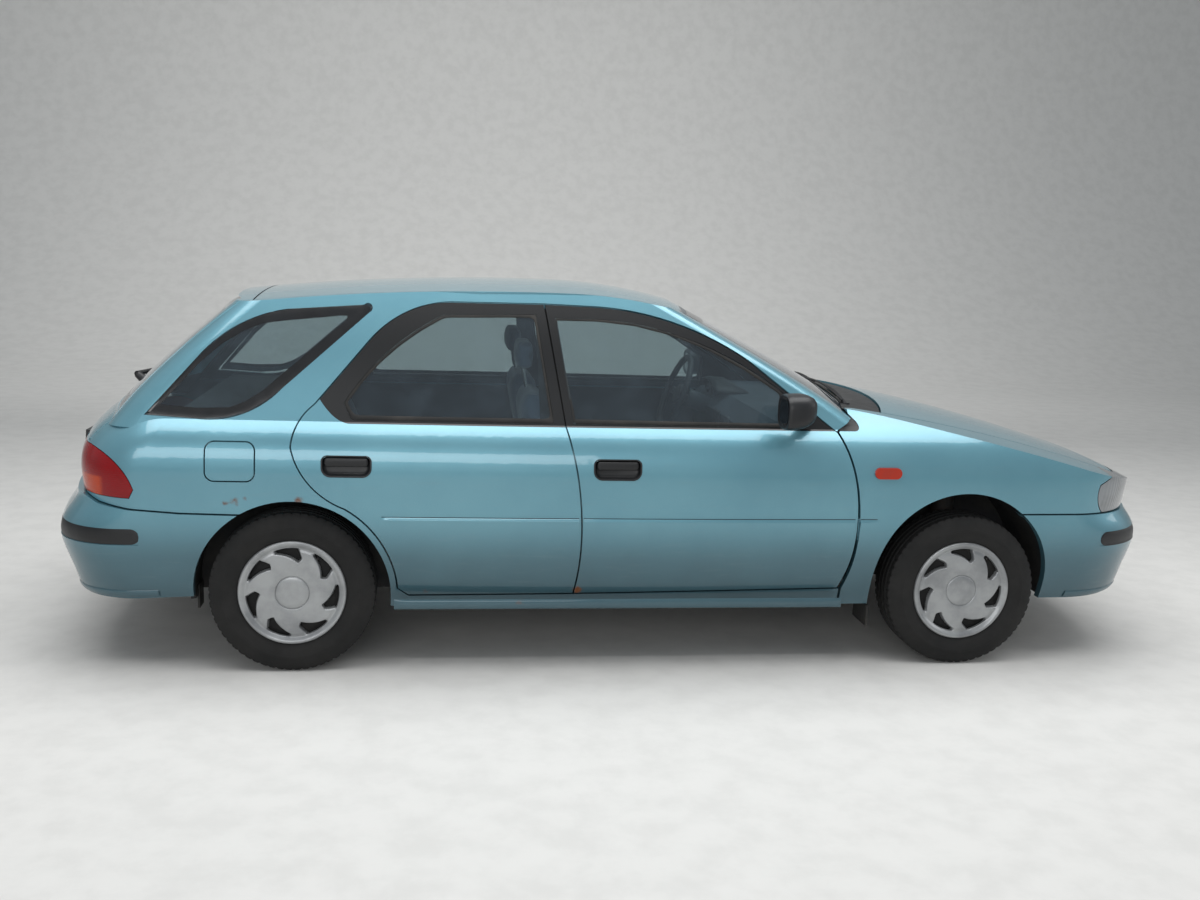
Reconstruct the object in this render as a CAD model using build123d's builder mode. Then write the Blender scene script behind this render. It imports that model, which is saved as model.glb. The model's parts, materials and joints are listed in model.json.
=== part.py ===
"""A five-door hatchback of the early nineties, built as an assembly of separate pieces.

Frame: +X points to the front bumper, +Y to the car's left and +Z up. The origin is on the
ground, midway between the axles. All values are millimetres and degrees.
"""

from build123d import *

import os
from math import cos, hypot, radians, sin

os.makedirs("parts", exist_ok=True)

# Overall sizes
LENGTH = 4350
HALF_WIDTH = 845
WHEELBASE = 2520
AXLE_X = WHEELBASE / 2
TRACK = 1450
GAP = 6

# Wheels
TYRE_R = 295
TYRE_W = 176
RIM_R = 182
RIM_FLANGE_R = 193
RIM_W = 150
HUB_R = 62
HUB_BORE_R = 28
COVER_SLOTS = 7
STEER_Y = 660

# Wheel arches in side view
FRONT_ARCH_X = 1250
FRONT_ARCH_Z = 330
FRONT_ARCH_R = 352
REAR_ARCH_Z = 288
REAR_ARCH_R = 347
HOUSE_WALL = 8

# Wall thicknesses
DOOR_T = 78
WALL_T = 112
UPPER_T = 42
GLASS_T = 5
PANEL_T = 24
HANDLE_L = 172
HANDLE_H = 74
HANDLE_R = 28
STRIP_T = 3
BUMPER_T = 34

# Heights of the main lines
BELT_Z = 908
HANDLE_Z = 763
FLOOR_Z = 232
FLOOR_T = 26
SILL_Z = 235
DOOR_FOOT_FRONT_Z = 303
DOOR_FOOT_REAR_Z = 282
FRONT_BUMPER_TOP_Z = 598
REAR_BUMPER_TOP_Z = 640
TAILGATE_FOOT_Z = 643

# Plan curvature of the long side, and the crowns of roof and bonnet
SIDE_R = 44000
ROOF_CROWN_R = 6000
BONNET_CROWN_R = 6200
DRIP_Y = 580
SEAM_Y = 622
BONNET_REAR_X = 950
BONNET_FRONT_X = 2062
ROOF_REAR_X = -1415
ROOF_FRONT_X = 236

# Waterlines: height, front end, rear end, half width, front and rear end radius,
# front and rear corner radius
LOWER_ROWS = [
    (SILL_Z, 2030, -2062, 776, 1800, 2400, 360, 250),
    (380, 2062, -2078, 820, 1800, 2400, 365, 255),
    (560, 2098, -2090, 841, 1800, 2400, 370, 260),
    (700, 2122, -2096, 844, 1800, 2400, 370, 260),
    (790, 2126, -2084, 837, 1800, 2400, 370, 260),
    (860, 2118, -2034, 812, 1800, 2400, 365, 250),
    (BELT_Z, 2108, -1974, 770, 1800, 2400, 360, 230),
    (975, 2085, -1850, 668, 1800, 2400, 340, 190),
]
BUMPER_ROWS = [
    (SILL_Z + 3, 2090, -2085, 780, 1800, 2400, 360, 250),
    (330, 2140, -2132, 814, 1800, 2400, 365, 260),
    (430, 2170, -2168, 834, 1800, 2400, 370, 270),
    (505, 2175, -2175, 843, 1800, 2400, 370, 270),
    (560, 2146, -2150, 845, 1800, 2400, 370, 265),
    (645, 2112, -2112, 845, 1800, 2400, 370, 260),
]
UPPER_ROWS = [
    (BELT_Z - 30, 1045, -1998, 779, 1800, 2400, 70, 110),
    (BELT_Z, 1003, -1974, 768, 1800, 2400, 70, 110),
    (1130, 620, -1758, 692, 1800, 2400, 65, 105),
    (1345, 190, -1506, 598, 1800, 2400, 60, 100),
    (1440, -20, -1385, 552, 1800, 2400, 60, 100),
]
SIDE_RAKE = 20
SCREEN_RAKE = 27.5
TAIL_RAKE = 41


def meeting_point(c1, r1, c2, r2, up):
    """Where two circles cross, taking the crossing with the larger or smaller x."""
    dx, dy = c2[0] - c1[0], c2[1] - c1[1]
    d = hypot(dx, dy)
    a = (r1 * r1 - r2 * r2 + d * d) / (2 * d)
    h = (r1 * r1 - a * a) ** 0.5
    mx, my = c1[0] + a * dx / d, c1[1] + a * dy / d
    both = [(mx + h * dy / d, my - h * dx / d), (mx - h * dy / d, my + h * dx / d)]
    return max(both) if up else min(both)


def corner(end_c, end_r, side_c, side_r, r, front):
    """Start, middle and end of the arc of radius r that rounds an end into the left side."""
    k = meeting_point(end_c, end_r - r, side_c, side_r - r, front)
    de, ds = end_r - r, side_r - r
    t1 = tuple(end_c[i] + (k[i] - end_c[i]) * end_r / de for i in (0, 1))
    t2 = tuple(side_c[i] + (k[i] - side_c[i]) * side_r / ds for i in (0, 1))
    mx, my = (t1[0] + t2[0]) / 2 - k[0], (t1[1] + t2[1]) / 2 - k[1]
    m = hypot(mx, my)
    return t1, (k[0] + mx * r / m, k[1] + my * r / m), t2


def waterline(row):
    """A sketch of the car's outline at one height: eight tangent arcs."""
    z, xf, xr, w, rf, rr, cf, cr = row
    side_c = (0, w - SIDE_R)
    f1, f2, f3 = corner((xf - rf, 0), rf, side_c, SIDE_R, cf, True)
    b1, b2, b3 = corner((xr + rr, 0), rr, side_c, SIDE_R, cr, False)

    xm = (f3[0] + b3[0]) / 2
    side = (xm, side_c[1] + (SIDE_R * SIDE_R - xm * xm) ** 0.5)

    def left(p):
        return (p[0], -p[1])

    with BuildSketch(Plane.XY.offset(z)) as sketch:
        with BuildLine():
            ThreePointArc(left(f1), (xf, 0), f1)
            ThreePointArc(f1, f2, f3)
            ThreePointArc(f3, side, b3)
            ThreePointArc(b3, b2, b1)
            ThreePointArc(b1, (xr, 0), left(b1))
            ThreePointArc(left(b1), left(b2), left(b3))
            ThreePointArc(left(b3), left(side), left(f3))
            ThreePointArc(left(f3), left(f2), left(f1))
        make_face()
    return sketch.sketch


def hull(rows):
    """The solid through a table of waterlines."""
    with BuildPart() as body:
        for row in rows:
            add(waterline(row))
        loft()
    return body.part


def inset(rows, side, front, rear):
    """A table of waterlines drawn in by the horizontal wall at side, front and rear."""
    return [
        (z, xf - front, xr + rear, w - side, rf, rr, max(cf - side, 20), max(cr - side, 20))
        for z, xf, xr, w, rf, rr, cf, cr in rows
    ]


def crown(arcs, radius, top_z, drop=0):
    """Everything under a crowned surface: side-view arcs turned about a line along the car."""
    axis_z = top_z - radius
    half_turn = 10
    a = radians(half_turn)
    plane = Plane((0, 0, axis_z), x_dir=(1, 0, 0), z_dir=(0, -cos(a), sin(a)))
    low = radius - 900
    with BuildPart() as body:
        with BuildSketch(plane):
            with BuildLine():
                for p, q, r in arcs:
                    ThreePointArc(
                        (p[0], p[1] - axis_z - drop),
                        (q[0], q[1] - axis_z - drop),
                        (r[0], r[1] - axis_z - drop),
                    )
                first, last = arcs[0][0], arcs[-1][2]
                Polyline(
                    (last[0], last[1] - axis_z - drop),
                    (last[0], low),
                    (first[0], low),
                    (first[0], first[1] - axis_z - drop),
                )
            make_face()
        revolve(axis=Axis((0, 0, axis_z), (1, 0, 0)), revolution_arc=2 * half_turn)
    return body.part


ROOF_TOP_Z = 1407
ROOF_ARCS = [
    ((-2300, 1204), (-1300, 1361), (-300, ROOF_TOP_Z)),
    ((-300, ROOF_TOP_Z), (0, 1385), (400, 1281)),
    ((400, 1281), (800, 1272), (1200, 1267)),
]
BONNET_TOP_Z = 1000
BONNET_ARCS = [
    ((-2500, 1100), (-700, 1110), (700, 1022)),
    ((700, 1022), (1330, 923), (1920, 773)),
    ((1920, 773), (2030, 733), (2120, 672)),
    ((2120, 672), (2160, 640), (2200, 600)),
]


def side_prism(draw, y0, y1):
    """A side-view outline carried across the car's right side, from -y0 to -y1."""
    with BuildPart() as body:
        with BuildSketch(Plane.XZ.offset(y0)):
            with BuildLine():
                draw()
            make_face()
        extrude(amount=y1 - y0)
    return body.part


def block(x0, x1, y0, y1, z0, z1):
    """A plain block between two corners."""
    with BuildPart() as body:
        with Locations(((x0 + x1) / 2, (y0 + y1) / 2, (z0 + z1) / 2)):
            Box(abs(x1 - x0), abs(y1 - y0), abs(z1 - z0))
    return body.part


def drum(x, z, r, y0, y1):
    """A round bar across the car between two values of y."""
    with BuildPart() as body:
        with BuildSketch(Plane.XZ.offset(-max(y0, y1))):
            with Locations((x, z)):
                Circle(r)
        extrude(amount=abs(y1 - y0))
    return body.part


def both_sides(solid):
    """A right-hand solid and its mirror image."""
    return solid + mirror(solid, about=Plane.XZ)


def keep(name, solid):
    """Labels a finished piece and writes its file."""
    solid.label = name
    export_step(solid, f"parts/{name}.step")
    return solid


# Side-view outlines of the openings
def front_door_outline(g=0.0):
    """The front door panel and the front window together, drawn in by g."""
    foot_f, foot_r = DOOR_FOOT_FRONT_Z + g, DOOR_FOOT_REAR_Z + 3 + g
    ThreePointArc((733 - g, 900), (812 - g, 640), (768 - g, foot_f))
    Line((768 - g, foot_f), (-246 + g, foot_r))
    ThreePointArc((-246 + g, foot_r), (-228 + g, 560), (-290 + g, BELT_Z))
    Line((-290 + g, BELT_Z), (-366 + g, 1338 - g))
    Line((-366 + g, 1338 - g), (-200, 1334 - g))
    ThreePointArc((-200, 1334 - g), (110, 1286 - g), (400, 1152 - g))
    Line((400, 1152 - g), (733 - g, 900))


def rear_door_outline(g=0.0):
    """The rear door panel and its window together, drawn in by g."""
    foot_f, foot_r = DOOR_FOOT_REAR_Z + 3 + g, DOOR_FOOT_REAR_Z - 4 + g
    arc_r = REAR_ARCH_R + 24 + g
    cx = -AXLE_X
    p_low = (cx + arc_r * cos(radians(3)), REAR_ARCH_Z + arc_r * sin(radians(3)))
    p_mid = (cx + arc_r * cos(radians(30)), REAR_ARCH_Z + arc_r * sin(radians(30)))
    p_top = (cx + arc_r * cos(radians(60)), REAR_ARCH_Z + arc_r * sin(radians(60)))
    Line((-246 - g, foot_f), (-850, foot_r))
    Line((-850, foot_r), p_low)
    ThreePointArc(p_low, p_mid, p_top)
    ThreePointArc(p_top, (-1210 + g, 712), (-1262 + g, 826))
    ThreePointArc((-1262 + g, 826), (-1242 + g, 902), (-1186 + g, 968))
    Line((-1186 + g, 968), (-1000 + g, 1192))
    ThreePointArc((-1000 + g, 1192), (-870 + g, 1296), (-700, 1336 - g))
    Line((-700, 1336 - g), (-366 - g, 1338 - g))
    Line((-366 - g, 1338 - g), (-290 - g, BELT_Z))
    ThreePointArc((-290 - g, BELT_Z), (-228 - g, 560), (-246 - g, foot_f))


def quarter_window_outline(g=0.0):
    """The rear quarter window with its black edge, drawn in by g."""
    Line((-1770 + 2 * g, 921 + g), (-1600 + g, 1118))
    ThreePointArc((-1600 + g, 1118), (-1455 + g, 1240 - g), (-1290, 1296 - g))
    Line((-1290, 1296 - g), (-1020 - 2 * g, 1318 - g))
    ThreePointArc((-1020 - 2 * g, 1318 - g), (-990 - g, 1310 - g), (-1000 - 2 * g, 1292 - g))
    Line((-1000 - 2 * g, 1292 - g), (-1300, 1020 + g))
    ThreePointArc((-1300, 1020 + g), (-1420, 935 + g), (-1580, 910 + g))
    Line((-1580, 910 + g), (-1770 + 2 * g, 921 + g))


def fuel_flap_outline(g=0.0):
    """The filler flap in the right-hand quarter panel, drawn in by g."""
    x0, x1, z0, z1 = -1553 + g, -1383 - g, 704 + g, 842 - g
    FilletPolyline(
        (x0, z0), (x1, z0), (x1, z1), (x0, z1), radius=32 - g, close=True
    )


def tail_lamp_outline(g=0.0):
    """The lamp that wraps the rear corner, open towards the rear."""
    Line((-2300, 808 - g), (-1962, 808 - g))
    ThreePointArc((-1962, 808 - g), (-1862 - g, 764 - g), (-1796 - g, 668))
    Line((-1796 - g, 668), (-1812 - g, 638 + g))
    Line((-1812 - g, 638 + g), (-2300, 648 + g))
    Line((-2300, 648 + g), (-2300, 808 - g))


def headlamp_outline(g=0.0):
    """The lamp that wraps the front corner, open towards the front."""
    Line((1795 + g, 712 - g), (1850 + g, 738 - g))
    Line((1850 + g, 738 - g), (1905 + g, 800))
    Line((1905 + g, 800), (2300, 800))
    Line((2300, 800), (2300, 604 + g))
    Line((2300, 604 + g), (1820 + g, 604 + g))
    ThreePointArc((1820 + g, 604 + g), (1790 + g, 655), (1795 + g, 712 - g))


def tailgate_outline(g=0.0):
    """The tailgate seen from behind, left half then right, drawn in by g."""
    Polyline(
        (0, 1500),
        (530 - g, 1500),
        (548 - g, 1350),
        (655 - g, 905),
        (655 - g, 815 + g),
        (505 - g, 815 + g),
        (505 - g, TAILGATE_FOOT_Z + g),
        (-505 + g, TAILGATE_FOOT_Z + g),
        (-505 + g, 815 + g),
        (-655 + g, 815 + g),
        (-655 + g, 905),
        (-548 + g, 1350),
        (-530 + g, 1500),
        (0, 1500),
    )


def end_prism(draw, x0, x1):
    """An outline in y and z carried along the car from x0 to x1."""
    with BuildPart() as body:
        with BuildSketch(Plane.YZ.offset(x0)):
            with BuildLine():
                draw()
            make_face()
        extrude(amount=x1 - x0)
    return body.part


def pill(x, z, length, height):
    """A round-ended outline in x and z about a middle point."""
    r = height / 2
    a, b = x - length / 2 + r, x + length / 2 - r
    Line((a, z - r), (b, z - r))
    ThreePointArc((b, z - r), (b + r, z), (b, z + r))
    Line((b, z + r), (a, z + r))
    ThreePointArc((a, z + r), (a - r, z), (a, z - r))


def rounded(x, z, length, height, radius):
    """A rectangle in x and z about a middle point, with rounded corners."""
    a, b = length / 2, height / 2
    FilletPolyline((x - a, z - b), (x + a, z - b), (x + a, z + b), (x - a, z + b), radius=radius, close=True)


def plan_prism(draw, z0, z1):
    """An outline in x and y carried up from z0 to z1."""
    with BuildPart() as body:
        with BuildSketch(Plane.XY.offset(z0)):
            with BuildLine():
                draw()
            make_face()
        extrude(amount=z1 - z0)
    return body.part


def lower_body(side=0.0, end=0.0, drop=0.0):
    """The body below the belt, drawn in at the sides, the ends and the bonnet."""
    return hull(inset(LOWER_ROWS, side, end, end)) & crown(
        BONNET_ARCS, BONNET_CROWN_R, BONNET_TOP_Z, drop
    )


def upper_body(t=0.0, roof_t=0.0):
    """The glasshouse drawn in by a wall t, square to each raked face, and roof_t at the roof."""
    return hull(glass_rows(t)) & crown(ROOF_ARCS, ROOF_CROWN_R, ROOF_TOP_Z, roof_t)


def glass_rows(t):
    """The glasshouse waterlines drawn in by t, square to each raked face."""
    return inset(
        UPPER_ROWS,
        t / cos(radians(SIDE_RAKE)),
        t / sin(radians(SCREEN_RAKE)),
        t / sin(radians(TAIL_RAKE)),
    )


def glass_layer():
    """The thin shell of glass, just under the skin of the glasshouse."""
    return upper_body(2.5, 30) - hull(glass_rows(2.5 + GLASS_T))


def windscreen_outline(g=0.0):
    """The windscreen seen from the front, drawn in by g."""
    Polyline((-530 + g, 1323 - g), (-700 + g, 905 + g), (700 - g, 905 + g), (530 - g, 1323 - g))
    ThreePointArc((530 - g, 1323 - g), (0, 1331 - g), (-530 + g, 1323 - g))


def tail_window_outline(g=0.0):
    """The tailgate window seen from behind, drawn in by g."""
    Polyline((-492 + g, 1322 - g), (-604 + g, 918 + g), (604 - g, 918 + g), (492 - g, 1322 - g))
    ThreePointArc((492 - g, 1322 - g), (0, 1334 - g), (-492 + g, 1322 - g))


def front_window_outline(g=0.0):
    """The clear part of the front door window, drawn in by g."""
    Line((-262 + g, 916 + g), (-326 + g, 1290 - g))
    Line((-326 + g, 1290 - g), (-170, 1290 - g))
    ThreePointArc((-170, 1290 - g), (180, 1224 - g), (528 - g, 1040))
    Line((528 - g, 1040), (528 - g, 916 + g))
    Line((528 - g, 916 + g), (-262 + g, 916 + g))


def rear_window_outline(g=0.0):
    """The clear part of the rear door window, drawn in by g."""
    Line((-332 - g, 916 + g), (-1056 + g, 916 + g))
    Line((-1056 + g, 916 + g), (-1084 + g, 975))
    ThreePointArc((-1084 + g, 975), (-936 + g, 1152 - g), (-735, 1290 - g))
    Line((-735, 1290 - g), (-396 - g, 1300 - g))
    Line((-396 - g, 1300 - g), (-332 - g, 916 + g))


def side_region():
    """Everything behind the front wing, seen from the side."""
    Polyline(
        (-2400, REAR_BUMPER_TOP_Z + GAP),
        (-1990, REAR_BUMPER_TOP_Z - 6 + GAP),
        (-1925, REAR_BUMPER_TOP_Z - 28 + GAP),
        (-1815, REAR_BUMPER_TOP_Z - 44 + GAP),
        (-1640, REAR_BUMPER_TOP_Z - 56 + GAP),
        (-1400, REAR_BUMPER_TOP_Z - 60 + GAP),
        (-1400, 225),
        (774, 225),
        (774, 290),
        (740, 640),
        (727, 903),
        (790, 944),
        (930, 962),
        (930, 1500),
        (-2400, 1500),
        (-2400, REAR_BUMPER_TOP_Z + GAP),
    )


def wing_region():
    """The front wing seen from the side."""
    Line((778 + GAP, 225), (778 + GAP, DOOR_FOOT_FRONT_Z))
    ThreePointArc((778 + GAP, DOOR_FOOT_FRONT_Z), (812 + GAP, 640), (733 + GAP, 900))
    Line((733 + GAP, 900), (733 + GAP, 903))
    Line((733 + GAP, 903), (800, 950))
    Line((800, 950), (800, 1100))
    Line((800, 1100), (2300, 1100))
    Line((2300, 1100), (2300, FRONT_BUMPER_TOP_Z + GAP))
    Line((2300, FRONT_BUMPER_TOP_Z + GAP), (1400, FRONT_BUMPER_TOP_Z + GAP))
    Line((1400, FRONT_BUMPER_TOP_Z + GAP), (1300, 225))
    Line((1300, 225), (778 + GAP, 225))


def bonnet_plan(g=0.0):
    """The bonnet seen from above, drawn in by g."""
    y = SEAM_Y - g
    x_side = BONNET_REAR_X + g
    x_mid = BONNET_REAR_X + 112 + g
    x_nose, x_corner = BONNET_FRONT_X - g, BONNET_FRONT_X - 124 - g
    ThreePointArc((x_side, y), (x_mid, 0), (x_side, -y))
    Line((x_side, -y), (x_corner, -y))
    ThreePointArc((x_corner, -y), (x_nose, 0), (x_corner, y))
    Line((x_corner, y), (x_side, y))


def roof_plan(g=0.0):
    """The roof skin seen from above, drawn in by g."""
    Polyline(
        (ROOF_REAR_X + g, DRIP_Y - 22 - g),
        (-600, DRIP_Y - g),
        (400, DRIP_Y - g),
        (400, -DRIP_Y + g),
        (-600, -DRIP_Y + g),
        (ROOF_REAR_X + g, -DRIP_Y + 22 + g),
        (ROOF_REAR_X + g, DRIP_Y - 22 - g),
    )


# The envelope and the faces inside it
outer = lower_body() + upper_body()
door_back = lower_body(44, 20, 20) + upper_body(18, 18)
flange_front = lower_body(50, 26, 26) + upper_body(24, 24)
inner = lower_body(WALL_T, 50, 40) + upper_body(UPPER_T, 38)

right_half = block(-2300, 2300, -900, -400, 200, 1500)
wall_right = (outer & right_half) - inner

# Roof, bonnet and wings
roof_zone = plan_prism(lambda: roof_plan(1), 1290, 1500)
roof_shell = (upper_body() & block(-1500, 400, -700, 700, 1150, 1500)) - upper_body(30, 24)
screen_hole = end_prism(windscreen_outline, 40, 1200)
roof_panel = keep("roof_panel", (roof_shell & roof_zone) - screen_hole)

front_end = block(700, 2300, -900, 900, 200, 1100)
front_skin = (lower_body() & front_end) - lower_body(PANEL_T, PANEL_T, 22)
bonnet_zone = plan_prism(lambda: bonnet_plan(GAP / 2), 664, 1100)
bonnet = keep("bonnet", front_skin & bonnet_zone)

wing_gap = plan_prism(lambda: bonnet_plan(-GAP / 2), 600, 1100)
front_drum = drum(FRONT_ARCH_X, FRONT_ARCH_Z, FRONT_ARCH_R, -950, -500) + block(
    FRONT_ARCH_X - FRONT_ARCH_R, FRONT_ARCH_X + FRONT_ARCH_R, -950, -500, 100, FRONT_ARCH_Z
)
wing = front_skin & side_prism(wing_region, 480, 900)
wing = wing - wing_gap - front_drum - side_prism(lambda: headlamp_outline(-3), 300, 900)
wing = wing - upper_body(-4, -4) - block(700, 1070, -SEAM_Y - 3, 0, 600, 1100)
repeater = side_prism(lambda: pill(918, 759, 104, 42), 822, 841)
wing = wing - side_prism(lambda: pill(918, 759, 104.6, 42.6), 822, 900)
wing_right = keep("wing_right", wing)
wing_left = keep("wing_left", mirror(wing, about=Plane.XZ))

# Side frames, with the door, window and lamp openings
FLANGE = 22
frame_zone = side_prism(side_region, 400, 900)
rear_drum = drum(-AXLE_X, REAR_ARCH_Z, REAR_ARCH_R, -950, -500) + block(
    -AXLE_X - REAR_ARCH_R, -AXLE_X + REAR_ARCH_R, -950, -500, 100, REAR_ARCH_Z
)
door_openings = side_prism(lambda: front_door_outline(-GAP / 2), 400, 900) + side_prism(
    lambda: rear_door_outline(-GAP / 2), 400, 900
)
inner_openings = side_prism(lambda: front_door_outline(FLANGE), 400, 900) + side_prism(
    lambda: rear_door_outline(FLANGE), 400, 900
)
tailgate_gap = end_prism(lambda: tailgate_outline(-GAP / 2), -2400, ROOF_REAR_X + 1)
cuts = (
    tailgate_gap
    + screen_hole
    + plan_prism(lambda: roof_plan(-GAP / 2), 1290, 1500)
    + rear_drum
    + side_prism(quarter_window_outline, 400, 900)
    + side_prism(lambda: tail_lamp_outline(-2), 400, 900)
)
side_frame = (wall_right & frame_zone) - inner_openings - cuts
side_frame = side_frame - (door_openings - flange_front)
pillar_foot = block(735, 1010, -900, -400, 880, 1010) - upper_body()
side_frame = side_frame - pillar_foot
side_frame_left = keep("side_frame_left", mirror(side_frame, about=Plane.XZ))
flap_pocket = side_prism(lambda: fuel_flap_outline(-2.5), 770, 900)
side_frame_right = keep("side_frame_right", side_frame - flap_pocket)

# Doors: a skin as large as the opening and a narrower inner part
DOORS = [
    ("front", front_door_outline, front_window_outline, -103, 817),
    ("rear", rear_door_outline, rear_window_outline, -1068, 804),
]
window_shell = glass_layer() & right_half
for place, door_outline, window_outline, handle_x, recess_y in DOORS:
    zone = side_prism(lambda: door_outline(GAP / 2), 400, 900)
    core = side_prism(lambda: door_outline(FLANGE + 6), 400, 900)
    window = side_prism(window_outline, 400, 900)
    door = (wall_right & zone) - window
    door = door - (door_back - core)
    recess = side_prism(lambda: rounded(handle_x, HANDLE_Z, HANDLE_L, HANDLE_H, HANDLE_R), recess_y, 900)
    door = door - recess
    cup = (HANDLE_L - 0.6, HANDLE_H - 0.6, HANDLE_R - 0.3)
    handle = side_prism(lambda: rounded(handle_x, HANDLE_Z, *cup), recess_y, recess_y + 7)
    paddle = (HANDLE_L - 24, HANDLE_H * 0.4, 10)
    paddle_zone = side_prism(lambda: rounded(handle_x, HANDLE_Z + 14, *paddle), recess_y + 5, recess_y + 30)
    handle = handle + paddle_zone
    if place == "front":
        head = block(500, 640, -960, -800, 925, 1060)
        with BuildPart() as mirror_head:
            add(head)
            fillet(mirror_head.edges(), 22)
        foot = block(575, 660, -812, -700, 932, 980) - upper_body(-0.4, -0.4)
        handle = handle + mirror_head.part + foot
    keep(f"fittings_{place}_right", handle)
    keep(f"fittings_{place}_left", mirror(handle, about=Plane.XZ))
    glass = window_shell & window
    keep(f"door_{place}_right", door)
    keep(f"door_{place}_left", mirror(door, about=Plane.XZ))
    keep(f"window_{place}_right", glass)
    keep(f"window_{place}_left", mirror(glass, about=Plane.XZ))

# Fixed glass
windscreen = keep("windscreen", (glass_layer() & block(40, 1100, -800, 800, 880, 1500)) & screen_hole)
quarter = window_shell & side_prism(quarter_window_outline, 400, 900)
quarter_windows = keep("quarter_windows", both_sides(quarter))

# Tailgate: its outer skin is wider than its inner part, so that the edge swings clear of the frame
SWING_ROOM = 2
TAIL_STEP = 14
tail_zone = end_prism(lambda: tailgate_outline(GAP / 2 + SWING_ROOM), -2400, ROOF_REAR_X - GAP)
tail_core = end_prism(lambda: tailgate_outline(GAP / 2 + TAIL_STEP), -2400, ROOF_REAR_X - GAP)
tail_window = end_prism(tail_window_outline, -2400, -1000)
tail_wall = (outer & block(-2300, -1400, -700, 700, 600, 1500)) - inner - (door_back - tail_core)
tailgate = keep("tailgate", (tail_wall & tail_zone) - tail_window)
tail_glass = (glass_layer() & block(-2300, -1400, -700, 700, 900, 1500)) & tail_window
tailgate_glass = keep("tailgate_glass", tail_glass)

# Lamps, grille, cowl and bumpers
skin_50 = (outer & right_half) - flange_front
tail_lamp = (skin_50 & side_prism(tail_lamp_outline, 300, 900)) - tailgate_gap
tail_lamps = keep("tail_lamps", both_sides(tail_lamp))
nose = (lower_body() & block(1700, 2300, -900, 900, 560, 900)) - lower_body(60, 60, 60)
nose = nose - plan_prism(lambda: bonnet_plan(-GAP / 2), 500, 1100)
headlamp = nose & side_prism(headlamp_outline, 336, 900)
headlamps = keep("headlamps", both_sides(headlamp))
grille_zone = block(1900, 2300, -330, 330, FRONT_BUMPER_TOP_Z + GAP, 900)
slots = [
    block(1900, 2300, -296 + 150 * i, -154 + 150 * i, 622 + 26 * j, 636 + 26 * j)
    for i in range(4)
    for j in range(3)
]
grille = keep("grille", (nose & grille_zone) - slots)
cowl = lower_body(26, 30, 8) & block(700, 1070, -SEAM_Y + 3, SEAM_Y - 3, 860, 1100)
cowl = cowl - lower_body(20, 30, 18) - plan_prism(lambda: bonnet_plan(-GAP / 2), 500, 1100)
cowl_panel = keep("cowl_panel", cowl - upper_body(0, 0))
side_repeaters = keep("side_repeaters", both_sides(repeater))


def rear_bumper_side():
    """The rear bumper seen from the side."""
    Polyline(
        (-2400, REAR_BUMPER_TOP_Z),
        (-1990, REAR_BUMPER_TOP_Z - 6),
        (-1925, REAR_BUMPER_TOP_Z - 28),
        (-1815, REAR_BUMPER_TOP_Z - 44),
        (-1640, REAR_BUMPER_TOP_Z - 56),
        (-1400, REAR_BUMPER_TOP_Z - 60),
        (-1500, 280),
        (-1800, 262),
        (-2400, 258),
        (-2400, REAR_BUMPER_TOP_Z),
    )


bumper_outer = hull(BUMPER_ROWS)
bumper_inner = hull(inset(BUMPER_ROWS, BUMPER_T, BUMPER_T, BUMPER_T))
bumper_lip = hull(inset(BUMPER_ROWS, 74, 74, 74))
strip_seat = bumper_outer - hull(inset(BUMPER_ROWS, STRIP_T, STRIP_T, STRIP_T))
TOW_R = 17.5
TOW_T = 14
TOW_Y = -350
tow_slot = block(-2110, 2085, TOW_Y - TOW_T, TOW_Y + TOW_T, 190, 306)
tow_slot = tow_slot - block(-1900, 1900, -400, -300, 190, 306)
PIPE_Y = 420
pipe_slot = block(-2200, -1900, PIPE_Y - 34, PIPE_Y + 34, 190, 286)
front_strips = both_sides(block(1815, 2300, -900, -300, 471, 528))
plate_seat = block(2157, 2300, -264, 264, 426, 546)
rear_strip = block(-2300, -1783, -900, 900, 469, 530)
front_zone = block(1400, 2300, -900, 900, 252, FRONT_BUMPER_TOP_Z)
bumper = (bumper_outer & front_zone) - (bumper_inner & block(1300, 2300, -900, 900, 0, 580))
intake = block(1900, 2300, -420, 420, 300, 400)
bumper = bumper - bumper_lip - both_sides(front_drum) - intake - tow_slot
bumper = bumper - (strip_seat & front_strips) - plate_seat
front_bumper = keep("front_bumper", bumper)
rear_zone = side_prism(rear_bumper_side, -900, 900)
bumper = (bumper_outer & rear_zone) - (bumper_inner & block(-2300, -1300, -900, 900, 0, 562))
bumper = bumper - bumper_lip - both_sides(rear_drum) - tow_slot - pipe_slot
bumper = bumper - (strip_seat & rear_strip)
rear_bumper = keep("rear_bumper", bumper)

flap_prism = side_prism(lambda: fuel_flap_outline(2.5), 780, 900)
fuel_flap = keep("fuel_flap", ((outer & right_half) - lower_body(6, 10, 10)) & flap_prism)


# Floor, bulkhead and inner arches
def rod(p, q, r):
    """A round bar from point p to point q."""
    d = Vector(*q) - Vector(*p)
    with BuildPart() as body:
        with BuildSketch(Plane(origin=p, z_dir=d)):
            Circle(r)
        extrude(amount=d.length)
    return body.part


def arch_liner(x, z, r, y0, y1, foot):
    """A half round shell over one wheel, with straight ends down to foot."""
    with BuildPart() as body:
        with BuildSketch(Plane.XZ.offset(y0)):
            with Locations((x, z)):
                Circle(r + HOUSE_WALL)
            with Locations((x, (z + foot) / 2)):
                Rectangle(2 * r + 2 * HOUSE_WALL, z - foot)
            with Locations((x, z)):
                Circle(r, mode=Mode.SUBTRACT)
            with Locations((x, (z + foot) / 2)):
                Rectangle(2 * r, z - foot, mode=Mode.SUBTRACT)
            with Locations((x, foot - 300)):
                Rectangle(3 * r, 600, mode=Mode.SUBTRACT)
        extrude(amount=y1 - y0)
    return body.part


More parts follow.
